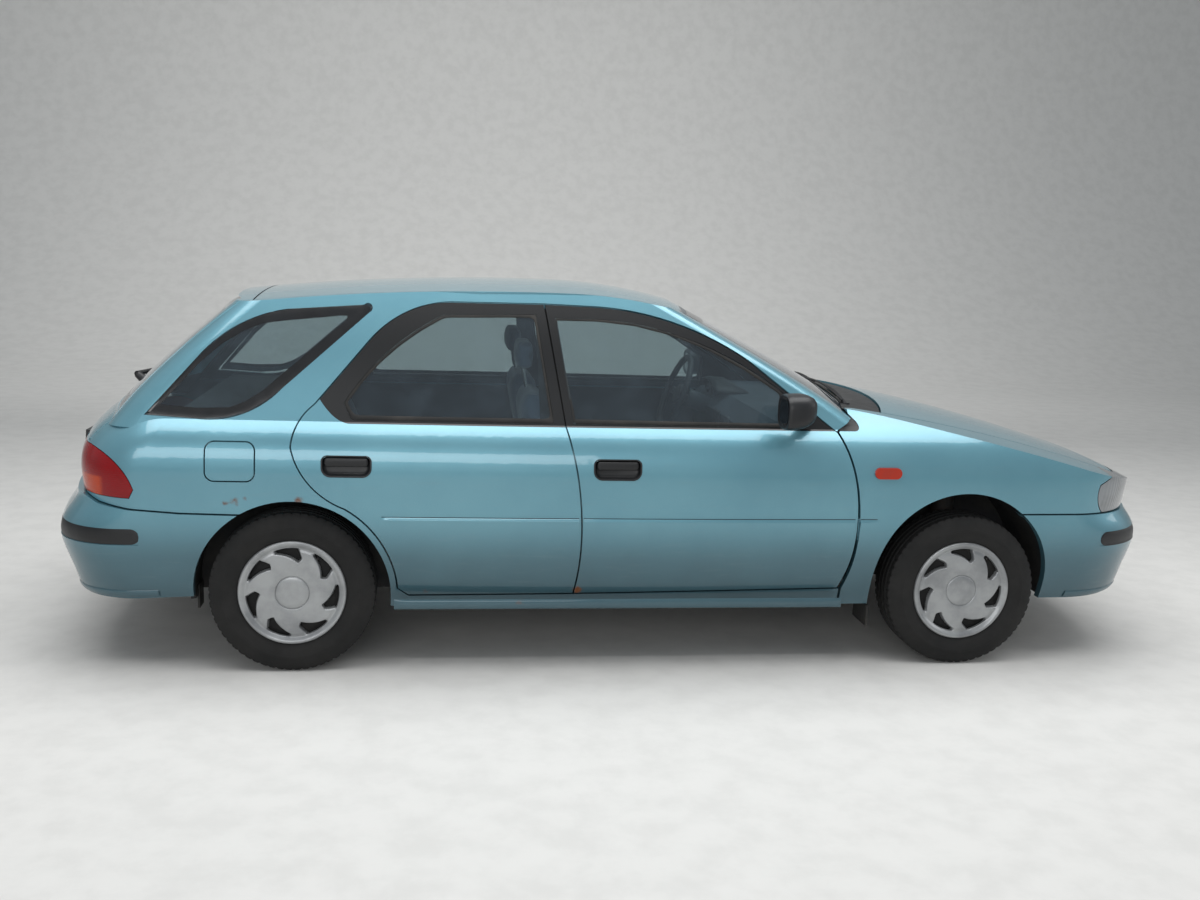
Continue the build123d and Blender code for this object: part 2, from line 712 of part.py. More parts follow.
FRONT_FLOOR_Z = 235
BOOT_FLOOR_Z = 430
KICK_X = -880
BULKHEAD_X = 742
RAIL_Y = 459
LINER_Y = 594
FIT = 0.3
cabin = lower_body(WALL_T + FIT, 62, 60)
floor = cabin & block(KICK_X, BULKHEAD_X - FIT, -760, 760, FRONT_FLOOR_Z, FRONT_FLOOR_Z + 24)
floor_pan = keep("floor_pan", floor)

# Boot floor with its step, the spare wheel well, the rear panel and the rear inner arches
WELL_X = -1740
WELL_R = 298
REAR_HOUSE_R = REAR_ARCH_R + 6
step_and_boot = (
    block(KICK_X - 16, KICK_X - FIT, -760, 760, FRONT_FLOOR_Z, BOOT_FLOOR_Z + 16)
    + block(-2100, KICK_X - 8, -760, 760, BOOT_FLOOR_Z, BOOT_FLOOR_Z + 16)
    + block(-2100, -1980, -760, 760, 262, REAR_BUMPER_TOP_Z - 4)
)
rear_wells = both_sides(
    drum(-AXLE_X, REAR_ARCH_Z, REAR_HOUSE_R + HOUSE_WALL + FIT, -900, -LINER_Y + HOUSE_WALL + FIT)
    + block(
        -AXLE_X - REAR_HOUSE_R - HOUSE_WALL - FIT, -AXLE_X + REAR_HOUSE_R + HOUSE_WALL + FIT,
        -900, -LINER_Y + HOUSE_WALL + FIT, 100, REAR_ARCH_Z,
    )
)
with BuildPart() as spare_well:
    with BuildSketch(Plane.XY.offset(270)):
        with Locations((WELL_X, 0)):
            Circle(WELL_R + 8)
    extrude(amount=BOOT_FLOOR_Z + 10 - 270)
    with BuildSketch(Plane.XY.offset(278)):
        with Locations((WELL_X, 0)):
            Circle(WELL_R)
    extrude(amount=300, mode=Mode.SUBTRACT)
with BuildPart() as well_mouth:
    with BuildSketch(Plane.XY.offset(BOOT_FLOOR_Z - 5)):
        with Locations((WELL_X, 0)):
            Circle(WELL_R)
    extrude(amount=30)
rear_eye = drum(-2068, 212, 29, TOW_Y - TOW_T / 2, TOW_Y + TOW_T / 2) + block(
    -2066, -1982, TOW_Y - TOW_T / 2, TOW_Y + TOW_T / 2, 196, 300
)
boot = ((cabin & step_and_boot) - rear_wells - well_mouth.part) + spare_well.part + rear_eye
boot = boot - drum(-2068, 212, TOW_R, -400, -300)
rear_liner = arch_liner(-AXLE_X, REAR_ARCH_Z, REAR_HOUSE_R, LINER_Y - 8, 800, FRONT_FLOOR_Z + 20) & cabin
rear_end = drum(-AXLE_X, REAR_ARCH_Z, REAR_HOUSE_R, -LINER_Y, -LINER_Y + HOUSE_WALL) & block(
    -1700, KICK_X - 16, -700, -500, FRONT_FLOOR_Z + 20, 700
)
rear_house = (rear_liner + rear_end) - drum(-AXLE_X, TYRE_R, 58, -700, -500)
boot_floor = keep("boot_floor", boot + both_sides(rear_house))

# Engine bay: bulkhead, front panel, and the inner wings with their wheel arches and damper towers
bulkhead = cabin & block(BULKHEAD_X, BULKHEAD_X + 24, -760, 760, FRONT_FLOOR_Z, 899)
front_liner = arch_liner(FRONT_ARCH_X, FRONT_ARCH_Z, FRONT_ARCH_R + 8, RAIL_Y - 2, 830, 262)
front_liner = front_liner & lower_body(BUMPER_T + 4, 60, 60)
flange_room = block(1400, 2300, -900, -400, 578, FRONT_BUMPER_TOP_Z + 2)
flange_room = flange_room - hull(inset(BUMPER_ROWS, 76, 76, 76))
front_liner = front_liner - flange_room
inner_wing = block(BULKHEAD_X + 24 + FIT, 1964 - FIT, -RAIL_Y, -RAIL_Y + 12, 262, 660)
tower = (
    block(1190, 1330, -640, -RAIL_Y, 752, 764)
    + block(1190, 1202, -640, -RAIL_Y, 670, 760)
    + block(1318, 1330, -640, -RAIL_Y, 670, 760)
    + block(1190, 1330, -652, -640, 640, 764)
    + block(1190, 1330, -RAIL_Y, -RAIL_Y + 12, 640, 764)
)
damper_room = block(1202, 1318, -640, -RAIL_Y, 600, 752)
shaft_hole = drum(AXLE_X, TYRE_R, 30, -480, -430)
inner_wing_side = (front_liner - damper_room) + inner_wing + tower - shaft_hole
front_eye = drum(2032, 212, 29, TOW_Y - TOW_T / 2, TOW_Y + TOW_T / 2) + block(
    1966, 2030, TOW_Y - TOW_T / 2, TOW_Y + TOW_T / 2, 196, 300
)
front_panel = block(1964, 1984, -RAIL_Y, RAIL_Y, 262, 596) + front_eye
front_panel = front_panel - drum(2032, 212, TOW_R, -400, -300)
engine_bay = keep("engine_bay", bulkhead + both_sides(inner_wing_side) + front_panel)


# Cabin
def side_solid(points, y0, y1):
    """A straight-sided outline in x and z carried across the car from y0 to y1."""
    with BuildPart() as body:
        with BuildSketch(Plane.XZ.offset(-y1)):
            with BuildLine():
                Polyline(*points, points[0])
            make_face()
        extrude(amount=y1 - y0)
    return body.part


COLUMN_Y = 350
DASH_Y = 676
WHEEL_C = (329, COLUMN_Y, 900)
COLUMN_D = (cos(radians(20)), 0, -sin(radians(20)))


def along_column(t):
    """A point on the steering column, t millimetres ahead of the wheel's middle."""
    return tuple(WHEEL_C[i] + COLUMN_D[i] * t for i in (0, 1, 2))


dash = side_solid(
    [
        (BULKHEAD_X - FIT, 640), (560, 640), (500, 700), (470, 850), (540, 915),
        (700, 925), (BULKHEAD_X - FIT, 925),
    ],
    -DASH_Y,
    DASH_Y,
)
dash = dash + (upper_body(12, 30) & block(BULKHEAD_X - 10, 1010, -DASH_Y, DASH_Y, 903, 925))
console = side_solid(
    [(BULKHEAD_X - FIT, 259), (BULKHEAD_X - FIT, 660), (520, 660), (400, 430), (-340, 400), (-340, 259)],
    -88,
    88,
)
shroud = rod(along_column(60), along_column(230), 42)
dashboard = dash + console + shroud - rod(along_column(20), along_column(100), 12.05)
keep("dashboard", dashboard)

rim_plane = Plane(origin=WHEEL_C, x_dir=(0, 1, 0), z_dir=COLUMN_D)
with BuildPart() as steering_wheel:
    with BuildSketch(Plane(origin=WHEEL_C, x_dir=COLUMN_D, z_dir=(0, 1, 0))):
        with Locations((0, 172)):
            Circle(14)
    revolve(axis=Axis(WHEEL_C, COLUMN_D))
    with BuildSketch(rim_plane.offset(8)):
        Circle(48)
        with Locations((88, 0), (-88, 0)):
            Rectangle(150, 34)
    extrude(amount=22)
    with BuildSketch(rim_plane.offset(25)):
        Circle(12)
    extrude(amount=60)
keep("steering_wheel", steering_wheel.part)

SEAT_CUSHION = [(-330, 318), (140, 318), (172, 430), (120, 468), (-240, 452), (-330, 430)]
SEAT_BACK = [(-222, 440), (-356, 1016), (-400, 1034), (-446, 1016), (-350, 440)]
seat = side_solid(SEAT_CUSHION, 100, 600) + side_solid(SEAT_BACK, 110, 590)
rest = block(-462, -384, 215, 485, 1064, 1200)
with BuildPart() as head_rest:
    add(rest)
    fillet(head_rest.edges(), 24)
posts = rod((-412, 300, 1010), (-424, 300, 1080), 7) + rod((-412, 400, 1010), (-424, 400, 1080), 7)
runner = block(-300, 130, 150, 180, 259, 320) + block(-300, 130, 520, 550, 259, 320)
front_seat = seat + head_rest.part + posts + runner
keep("front_seats", both_sides(front_seat))

REAR_CUSHION = [(-876, 262), (-880, 446), (-1010, 450), (-990, 500), (-540, 486), (-496, 440), (-520, 262)]
REAR_BACK = [(-1010, 448), (-1178, 880), (-1212, 915), (-1262, 905), (-1130, 448)]
bench = side_solid(REAR_CUSHION, -578, 578) + side_solid(REAR_BACK, -578, 578)
keep("rear_seat", bench)
parcel_shelf = keep("parcel_shelf", block(-1700, -1300, -676, 676, 892, 904))


# Running gear
def turned(points, x, y, side):
    """A closed outline of (out, radius) pairs turned about the wheel's axis."""
    rows = [(y + side * u, TYRE_R + v) for u, v in points]
    with BuildPart() as body:
        with BuildSketch(Plane((x, 0, 0), x_dir=(0, 1, 0), z_dir=(1, 0, 0))):
            with BuildLine():
                Polyline(*rows, rows[0])
            make_face()
        revolve(axis=Axis((x, 0, TYRE_R), (0, 1, 0)))
    return body.part


half_w = TYRE_W / 2
TYRE_PROFILE = [
    (-68, RIM_R + 0.3), (68, RIM_R + 0.3), (68, RIM_FLANGE_R + 2), (half_w - 6, 207), (half_w, 232),
    (half_w - 3, 258), (half_w - 13, 282), (half_w - 26, 291), (34, TYRE_R), (-34, TYRE_R),
    (-half_w + 26, 291), (-half_w + 13, 282), (-half_w + 3, 258), (-half_w, 232),
    (-half_w + 6, 207), (-68, RIM_FLANGE_R + 2),
]
RIM_PROFILE = [
    (-75, RIM_R - 16), (-75, RIM_FLANGE_R), (-69, RIM_FLANGE_R), (-69, RIM_R), (69, RIM_R),
    (69, RIM_FLANGE_R), (75, RIM_FLANGE_R), (75, RIM_R - 16), (40, RIM_R - 16), (40, HUB_BORE_R),
    (28, HUB_BORE_R), (28, RIM_R - 16),
]
COVER_R = RIM_FLANGE_R - 1
COVER_PROFILE = [
    (40, HUB_BORE_R), (40, 66), (66, 84), (69, 150), (69, COVER_R), (76, COVER_R), (81, COVER_R - 4),
    (82.5, COVER_R - 11), (80.5, COVER_R - 19), (75, COVER_R - 27), (76.5, 150), (79, 115), (78.5, 63),
    (75.5, 61), (78.5, 59), (80, 30), (80, 0), (58, 0), (58, HUB_BORE_R),
]
# One swept opening: share of the cover's radius and angle in degrees, clockwise from its middle
COVER_OPENING = [
    (0.84, -22), (0.80, -21), (0.70, -6), (0.60, 8), (0.61, 13), (0.70, 14), (0.84, 8), (0.85, -8),
]


def cover_opening(x):
    """The corners of one opening of the cover of the wheel at x, seen from the right."""
    return [
        (x + COVER_R * r * sin(radians(a)), TYRE_R + COVER_R * r * cos(radians(a)))
        for r, a in COVER_OPENING
    ]


for place, x in (("front", AXLE_X), ("rear", -AXLE_X)):
    y = -TRACK / 2
    tyre = turned(TYRE_PROFILE, x, y, -1)
    rim = turned(RIM_PROFILE, x, y, -1)
    cover = turned(COVER_PROFILE, x, y, -1)
    with BuildPart() as slot:
        with BuildSketch(Plane.XZ.offset(TRACK / 2 + 42)):
            with BuildLine():
                FilletPolyline(*cover_opening(x), radius=2.5, close=True)
            make_face()
        extrude(amount=60)
    hub_axis = Axis((x, 0, TYRE_R), (0, 1, 0))
    slots = [slot.part.rotate(hub_axis, 360 / COVER_SLOTS * i) for i in range(COVER_SLOTS)]
    wheel = rim + (cover - slots)
    keep(f"tyre_{place}_right", tyre)
    keep(f"wheel_{place}_right", wheel)
    turn_round = Axis((x, 0, 0), (0, 0, 1))
    keep(f"tyre_{place}_left", tyre.rotate(turn_round, 180))
    keep(f"wheel_{place}_left", wheel.rotate(turn_round, 180))

STEER_TOP_Z = 434
STEER_LOW_Z = 198
y_out = TRACK / 2
knuckle = rod((AXLE_X, -STEER_Y, STEER_LOW_Z + 22), (AXLE_X, -STEER_Y, STEER_TOP_Z - 12), 15)
knuckle = knuckle + rod((AXLE_X, -STEER_Y, STEER_LOW_Z), (AXLE_X, -STEER_Y, STEER_TOP_Z), 9.95)
knuckle = knuckle + rod((AXLE_X, -STEER_Y + 38, TYRE_R), (AXLE_X, -y_out + 24, TYRE_R), 44)
knuckle = knuckle + rod((AXLE_X, -y_out + 24, TYRE_R), (AXLE_X, -y_out + 10, TYRE_R), 122)
knuckle = knuckle + rod((AXLE_X, -y_out + 10, TYRE_R), (AXLE_X, -y_out - 54, TYRE_R), HUB_BORE_R - 0.05)
keep("knuckle_right", knuckle)
keep("knuckle_left", mirror(knuckle, about=Plane.XZ))

arm_low = block(AXLE_X - 24, AXLE_X + 24, -STEER_Y, -420, 196, 212)
arm_top = block(AXLE_X - 24, AXLE_X + 24, -STEER_Y, -RAIL_Y, 426, 440)
ends = rod((AXLE_X, -STEER_Y, 196), (AXLE_X, -STEER_Y, 212), 28)
ends = ends + rod((AXLE_X, -STEER_Y, 426), (AXLE_X, -STEER_Y, 440), 28)
pin_holes = rod((AXLE_X, -STEER_Y, 190), (AXLE_X, -STEER_Y, 450), 10)
spring = rod((AXLE_X, -560, 438), (AXLE_X, -560, 752), 44)
front_side = arm_low + arm_top + ends + spring - pin_holes
hanger = block(AXLE_X - 40, AXLE_X + 40, -RAIL_Y + 12, -420, 205, 262) + block(
    AXLE_X - 40, AXLE_X + 40, -RAIL_Y, -420, 205, 262
)
crossmember_front = (
    block(AXLE_X - 45, AXLE_X + 45, -430, 430, 205, 245) + both_sides(front_side + hanger)
)
keep("front_axle", crossmember_front)

tube = rod((-AXLE_X, -610, TYRE_R), (-AXLE_X, 610, TYRE_R), 24)
rear_hub = rod((-AXLE_X, -604, TYRE_R), (-AXLE_X, -y_out + 10, TYRE_R), 50)
rear_hub = rear_hub + rod((-AXLE_X, -y_out + 30, TYRE_R), (-AXLE_X, -y_out + 10, TYRE_R), 122)
rear_hub = rear_hub + rod((-AXLE_X, -y_out + 10, TYRE_R), (-AXLE_X, -y_out - 54, TYRE_R), HUB_BORE_R - 0.05)
trailing = side_solid([(-AXLE_X, 275), (-AXLE_X, 315), (-896, 300), (-896, 262)], -545, -505)
rear_spring = rod((-AXLE_X, -480, TYRE_R), (-AXLE_X, -480, BOOT_FLOOR_Z), 46)
crossmember_rear = tube + both_sides(rear_hub + trailing + rear_spring)
keep("rear_axle", crossmember_rear)

engine = block(1330, 1760, -330, 320, 290, 700) + block(1180, 1400, -300, 200, 290, 560)
engine = engine + rod((AXLE_X, -592, TYRE_R), (AXLE_X, 592, TYRE_R), 14)
engine = engine + block(1900, 1964, -320, 320, 280, 590) + block(1740, 1910, -40, 40, 420, 500)
engine = engine + block(1400, 1700, -RAIL_Y + 12, -300, 380, 460)
engine = engine + block(1400, 1700, 300, RAIL_Y - 12, 380, 460)
keep("engine", engine)

with BuildPart() as exhaust:
    with BuildLine():
        FilletPolyline(
            (1130, 120, 212), (-1320, 120, 212), (-1480, 420, 236), (-1990, 420, 250), (-2130, 420, 232),
            radius=60,
        )
    with BuildSketch(Plane(origin=(1130, 120, 212), z_dir=(-1, 0, 0))):
        Circle(23)
    sweep()
exhaust_pipe = exhaust.part + rod((-1560, 420, 240), (-1960, 420, 248), 74)
keep("exhaust", exhaust_pipe)
with BuildPart() as fuel_tank:
    add(block(-1200, -900, -440, 440, 336, BOOT_FLOOR_Z))
    fillet(fuel_tank.edges().filter_by(Axis.Z), 40)
keep("fuel_tank", fuel_tank.part)
x_front = FRONT_ARCH_X - FRONT_ARCH_R - 8 + FIT
x_rear = -AXLE_X - REAR_HOUSE_R + FIT
front_flap = [
    (x_front, 150),
    (x_front, 330),
    (x_front + 8.5, 405),
    (x_front + 16.5, 404),
    (x_front + 8, 330),
    (x_front + 8, 150),
]
flaps = both_sides(
    side_solid(front_flap, -738, -640)
    + block(x_front, x_front + 8, -786, -640, 150, 231)
    + block(x_rear, x_rear + 8, -672, -600, 200, REAR_ARCH_Z)
)
keep("mud_flaps", flaps)
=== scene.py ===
import json
import logging
import math
from dataclasses import dataclass, field
from enum import Enum
from typing import Callable, Sequence

import bpy
import numpy as np
from mathutils import Matrix, Vector
from mathutils.bvhtree import BVHTree

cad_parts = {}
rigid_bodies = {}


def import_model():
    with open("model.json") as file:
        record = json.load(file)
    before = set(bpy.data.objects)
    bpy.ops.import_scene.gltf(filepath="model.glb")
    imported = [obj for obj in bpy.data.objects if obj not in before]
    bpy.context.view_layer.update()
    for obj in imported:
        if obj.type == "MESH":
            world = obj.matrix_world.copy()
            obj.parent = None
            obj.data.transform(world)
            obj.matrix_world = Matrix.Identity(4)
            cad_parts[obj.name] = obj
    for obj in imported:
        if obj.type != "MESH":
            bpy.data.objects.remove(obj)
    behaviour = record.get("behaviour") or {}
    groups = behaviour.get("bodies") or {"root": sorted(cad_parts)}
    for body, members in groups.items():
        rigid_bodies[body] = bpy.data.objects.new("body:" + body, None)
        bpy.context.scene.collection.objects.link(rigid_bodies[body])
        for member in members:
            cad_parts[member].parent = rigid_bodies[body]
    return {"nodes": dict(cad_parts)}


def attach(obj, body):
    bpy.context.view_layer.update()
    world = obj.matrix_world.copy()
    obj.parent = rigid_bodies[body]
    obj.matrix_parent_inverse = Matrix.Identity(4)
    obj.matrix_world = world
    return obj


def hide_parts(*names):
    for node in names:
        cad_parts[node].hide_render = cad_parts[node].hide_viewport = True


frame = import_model()

LOG = logging.getLogger("hatchback")
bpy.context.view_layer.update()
MM = 0.001
TYRE_R, AXLE_X, TRACK = 0.295, 1.26, 1.45
WHEELS = [("front", "right"), ("front", "left"), ("rear", "right"), ("rear", "left")]


class Side(Enum):
    """The two sides of the car, with the sign of y."""

    RIGHT = -1
    LEFT = 1

    @property
    def word(self) -> str:
        """The side as it stands in the names of nodes."""
        return self.name.lower()


class View(Enum):
    """A side that a sheet is laid on from outside: the axis looked along and the sign of its far end."""

    RIGHT = (1, -1)
    LEFT = (1, 1)
    FRONT = (0, 1)
    REAR = (0, -1)


def linear(colour: str) -> tuple[float, float, float, float]:
    """Turns an sRGB hex colour into the linear colour that a shader wants.

    Args:
        colour: Six hex digits with a leading hash.

    Returns:
        Linear red, green, blue and an alpha of 1.
    """
    parts = [int(colour[i:i + 2], 16) / 255 for i in (1, 3, 5)]
    return tuple([p / 12.92 if p <= 0.04045 else ((p + 0.055) / 1.055) ** 2.4 for p in parts] + [1.0])


class Shader:
    """Builds one material's node tree with short calls.

    Args:
        name: The material's name: what it is and how it was made.
    """

    PLAIN = ("", (0, 1, 2), 0)
    KINDS = {  # main option, main sockets and main output
        "Math": ("operation", (0, 1, 2), 0), "VectorMath": ("operation", (0, 1), 0),
        "MapRange": ("interpolation_type", (0, 1, 2, 3, 4), 0), "Mix": ("data_type", (0, 6, 7), 2),
        "TexNoise": ("", ("Scale", "Detail", "Roughness"), 0),
        "TexWave": ("bands_direction", ("Scale", "Distortion"), "Fac"),
        "Bump": ("", ("Height", "Strength", "Distance"), 0),
    }

    def __init__(self, name: str) -> None:
        """Starts an empty node tree."""
        self.material = bpy.data.materials.new(name)
        self.material.use_nodes = True
        self.tree = self.material.node_tree
        self.tree.nodes.clear()
        self.output = self.tree.nodes.new("ShaderNodeOutputMaterial")
        source = self.tree.nodes.new("ShaderNodeTexCoord")
        self.coords, self.normal = source.outputs["Object"], source.outputs["Normal"]

    def add(self, kind: str, *main: object, **named: object) -> bpy.types.Node:
        """Adds a node, sets its options and fills or links its sockets.

        Args:
            kind: The node's type without its ShaderNode prefix; a word after it is its main option.
            main: Values for its main sockets, in the order of the table KINDS.
            named: Values for options, in small letters, and for sockets, with spaces as underscores.
                Each is a plain value, an output, or a node, whose main output is taken.

        Returns:
            The new node.
        """
        kind, _, word = kind.partition(" ")
        option, sockets, _ = self.KINDS.get(kind, self.PLAIN)
        node = self.tree.nodes.new("ShaderNode" + kind)
        if word:
            setattr(node, option, word)
        values = dict(zip(sockets, main))
        if kind.startswith("Tex"):
            values["Vector"] = self.coords
        for key, value in named.items():
            if key[0].islower():
                setattr(node, key, value)
            else:
                values[key.replace("_", " ")] = value
        for key, value in values.items():
            if isinstance(value, bpy.types.Node):
                value = value.outputs[self.KINDS.get(value.bl_idname[10:], self.PLAIN)[2]]
            if isinstance(value, bpy.types.NodeSocket):
                self.tree.links.new(value, node.inputs[key])
            else:
                node.inputs[key].default_value = value
        return node

    def near(self, point: Sequence[float], radius: float) -> bpy.types.Node:
        """1 at a point in object space, falling to 0 at a radius, with a ragged edge.

        Args:
            point: Point in metres.
            radius: Radius in metres.

        Returns:
            The node of the share.
        """
        gap = self.add("VectorMath DISTANCE", self.coords, tuple(point)).outputs["Value"]
        ragged = self.add("Math MULTIPLY_ADD", self.add("TexNoise", 45, 5, 0.7), radius * 1.2, gap)
        return self.add("MapRange SMOOTHSTEP", ragged, radius * 0.75, radius * 1.25, 1.0, 0.0)

    def done(self, shader: bpy.types.Node) -> bpy.types.Material:
        """Links the finished shader to the output."""
        self.tree.links.new(shader.outputs[0], self.output.inputs["Surface"])
        return self.material


@dataclass(frozen=True)
class Finish:
    """One plain finish: colour and its darker or lighter variation, gloss and fine grain.

    Args:
        name: Material name.
        colour: Main sRGB colour.
        second: Colour of the slow variation and of dust in it.
        roughness: Middle roughness.
        metallic: Share of metal.
        grain: Features a metre of the fine bump.
        depth: Height of the fine bump in metres.
        coat: Weight of a clear coat.
        coat_roughness: Roughness of the clear coat.
    """

    name: str
    colour: str
    second: str
    roughness: float
    metallic: float = 0.0
    grain: float = 900.0
    depth: float = 0.0001
    coat: float = 0.0
    coat_roughness: float = 0.05

    def make(self) -> bpy.types.Material:
        """Builds the material.

        Returns:
            The material.
        """
        s = Shader(self.name)
        slow = s.add("MapRange SMOOTHSTEP", s.add("TexNoise", 7, 5, 0.6), 0.35, 0.7)
        base = s.add("Mix RGBA", slow, linear(self.colour), linear(self.second))
        low = self.roughness - 0.08
        rough = s.add("Math MULTIPLY_ADD", s.add("TexNoise", 24, 4), 0.16, low, use_clamp=True)
        return s.done(s.add(
            "BsdfPrincipled", Base_Color=base, Roughness=rough,
            Metallic=self.metallic, Coat_Weight=self.coat, Coat_Roughness=self.coat_roughness,
            Normal=s.add("Bump", s.add("TexNoise", self.grain, 2), 0.6, self.depth),
        ))


# A grain is 1000 divided by the real one's width in mm, from 0.4 mm on plastic to 4 mm on sprayed wax.
FINISHES = {
    # Moulded black plastic: a low gloss broken by a fine pebble, greyer where the sun dries it.
    "black_trim": Finish(
        "black_injection_moulded_plastic", "#111214", "#1B1C1F", 0.42, grain=1500, depth=0.00008,
    ),
    # Fired enamel: a clean black that mirrors the sky.
    "gloss_black": Finish("black_enamelled_frame", "#0B0C0E", "#131518", 0.2, coat=0.6, depth=0.00002),
    # Weathered rubber: dull and greyed by dust.
    "rubber": Finish("weathered_moulded_rubber", "#141414", "#2A2825", 0.72, grain=700, depth=0.0002),
    # Tyre rubber: near black and dull, with brown dust in its grain.
    "tyre": Finish("vulcanised_tyre_rubber", "#0A0A0A", "#161514", 0.8, grain=500, depth=0.0003),
    # Silver lacquer on plastic: a soft grey metal shine under a thin clear coat.
    "cover": Finish("silver_lacquered_plastic", "#A3A5A6", "#86888A", 0.34, 0.55, 2400, 0.00003, 0.3),
    # Pressed steel: dark and half bright, with a brown bloom.
    "steel": Finish("pressed_steel_wheel", "#3A3A3C", "#4A3E35", 0.55, 0.7, 600, 0.0001),
    # Sprayed wax: black brown, lumpy and dull.
    "underbody": Finish("sprayed_underbody_wax", "#15171A", "#2C2A27", 0.75, grain=260, depth=0.0008),
    # Sand-cast iron: coarse grey grain with a rust bloom.
    "cast": Finish("sand_cast_iron", "#38393A", "#4B3C2F", 0.7, 0.55, 300, 0.0006),
    # Aluminised tube: grey metal burnt brown in places.
    "exhaust": Finish("aluminised_steel_tube", "#6F6C68", "#6B4A32", 0.5, 0.85, 500, 0.0002),
    # Grained cabin plastic: matt, with a leather-like skin, in two tones.
    "cabin": Finish("grained_cabin_plastic", "#3A434C", "#444E57", 0.6, grain=1100, depth=0.0002),
    "cabin_dark": Finish("dark_grained_cabin_plastic", "#1D2226", "#262C31", 0.55, grain=1100, depth=0.0002),
    # Reflective sheet: an even off-white with a faint gloss.
    "plate": Finish("white_reflective_sheet", "#D9D9D2", "#C9C8C0", 0.35, grain=1200, depth=0.00003),
    # Silvered glass: a clear and slightly dark reflection.
    "mirror": Finish("silvered_mirror_glass", "#6E7478", "#62676B", 0.06, 1.0, 900, 0.0),
    # Chromed reflector: bright and clear.
    "chrome": Finish("chromed_reflector", "#C9CCCE", "#B9BCBE", 0.12, 1.0, 900, 0.00001),
    # Painted shade: black and dull, for what shows only as shadow: the cover's openings, behind the intake and
    # the crease line.
    "shade": Finish("black_wheel_cavity", "#0C0C0D", "#1A1917", 0.8, grain=600, depth=0.0002),
    # Screen rubber painted pale grey: a raised seal whose colour is a painted highlight of the glass edge
    # round the screen.
    "seal_grey": Finish("bright_edged_screen_rubber", "#6B7073", "#585C5F", 0.35, 0.3, 900, 0.00005),
    # Studio floor: pale, matt and a little uneven.
    "floor": Finish("pale_studio_floor", "#D2D1CE", "#CBCAC7", 0.6, grain=300, depth=0.00005),
}
RUST_SPOTS = [
    ((-1.485, -0.826, 0.624), 0.022),
    ((-1.450, -0.828, 0.633), 0.032),
    ((-1.418, -0.828, 0.641), 0.020),
    ((-1.232, -0.830, 0.640), 0.030),
    ((-0.232, -0.800, 0.296), 0.040),
    ((-0.785, -0.800, 0.290), 0.034),
    ((-0.445, -0.812, 0.262), 0.034),
]


class PaintZone(Enum):
    """Which part of a painted panel is not paint: the black upper door frame, or the trimmed inner face."""

    PLAIN = "plain"
    DOOR = "door"
    WALL = "wall"
    ROOF = "roof"
    TAIL = "tail"


def grime(s: Shader, share: float) -> bpy.types.Node:
    """Slow patches of dirt up to a share."""
    return s.add("Math MULTIPLY", s.add("MapRange SMOOTHSTEP", s.add("TexNoise", 14, 5), 0.4, 0.8), share)


def black_frame(s: Shader) -> bpy.types.Node:
    """The satin black film on the door frames round the windows.

    Args:
        s: The builder of the material.

    Returns:
        The shader.
    """
    return s.add(
        "BsdfPrincipled", Base_Color=linear("#0B0C0E"), Roughness=0.34, Coat_Weight=0.2,
        Normal=s.add("Bump", s.add("TexNoise", 900, 2), 0.2, 0.0001),
    )


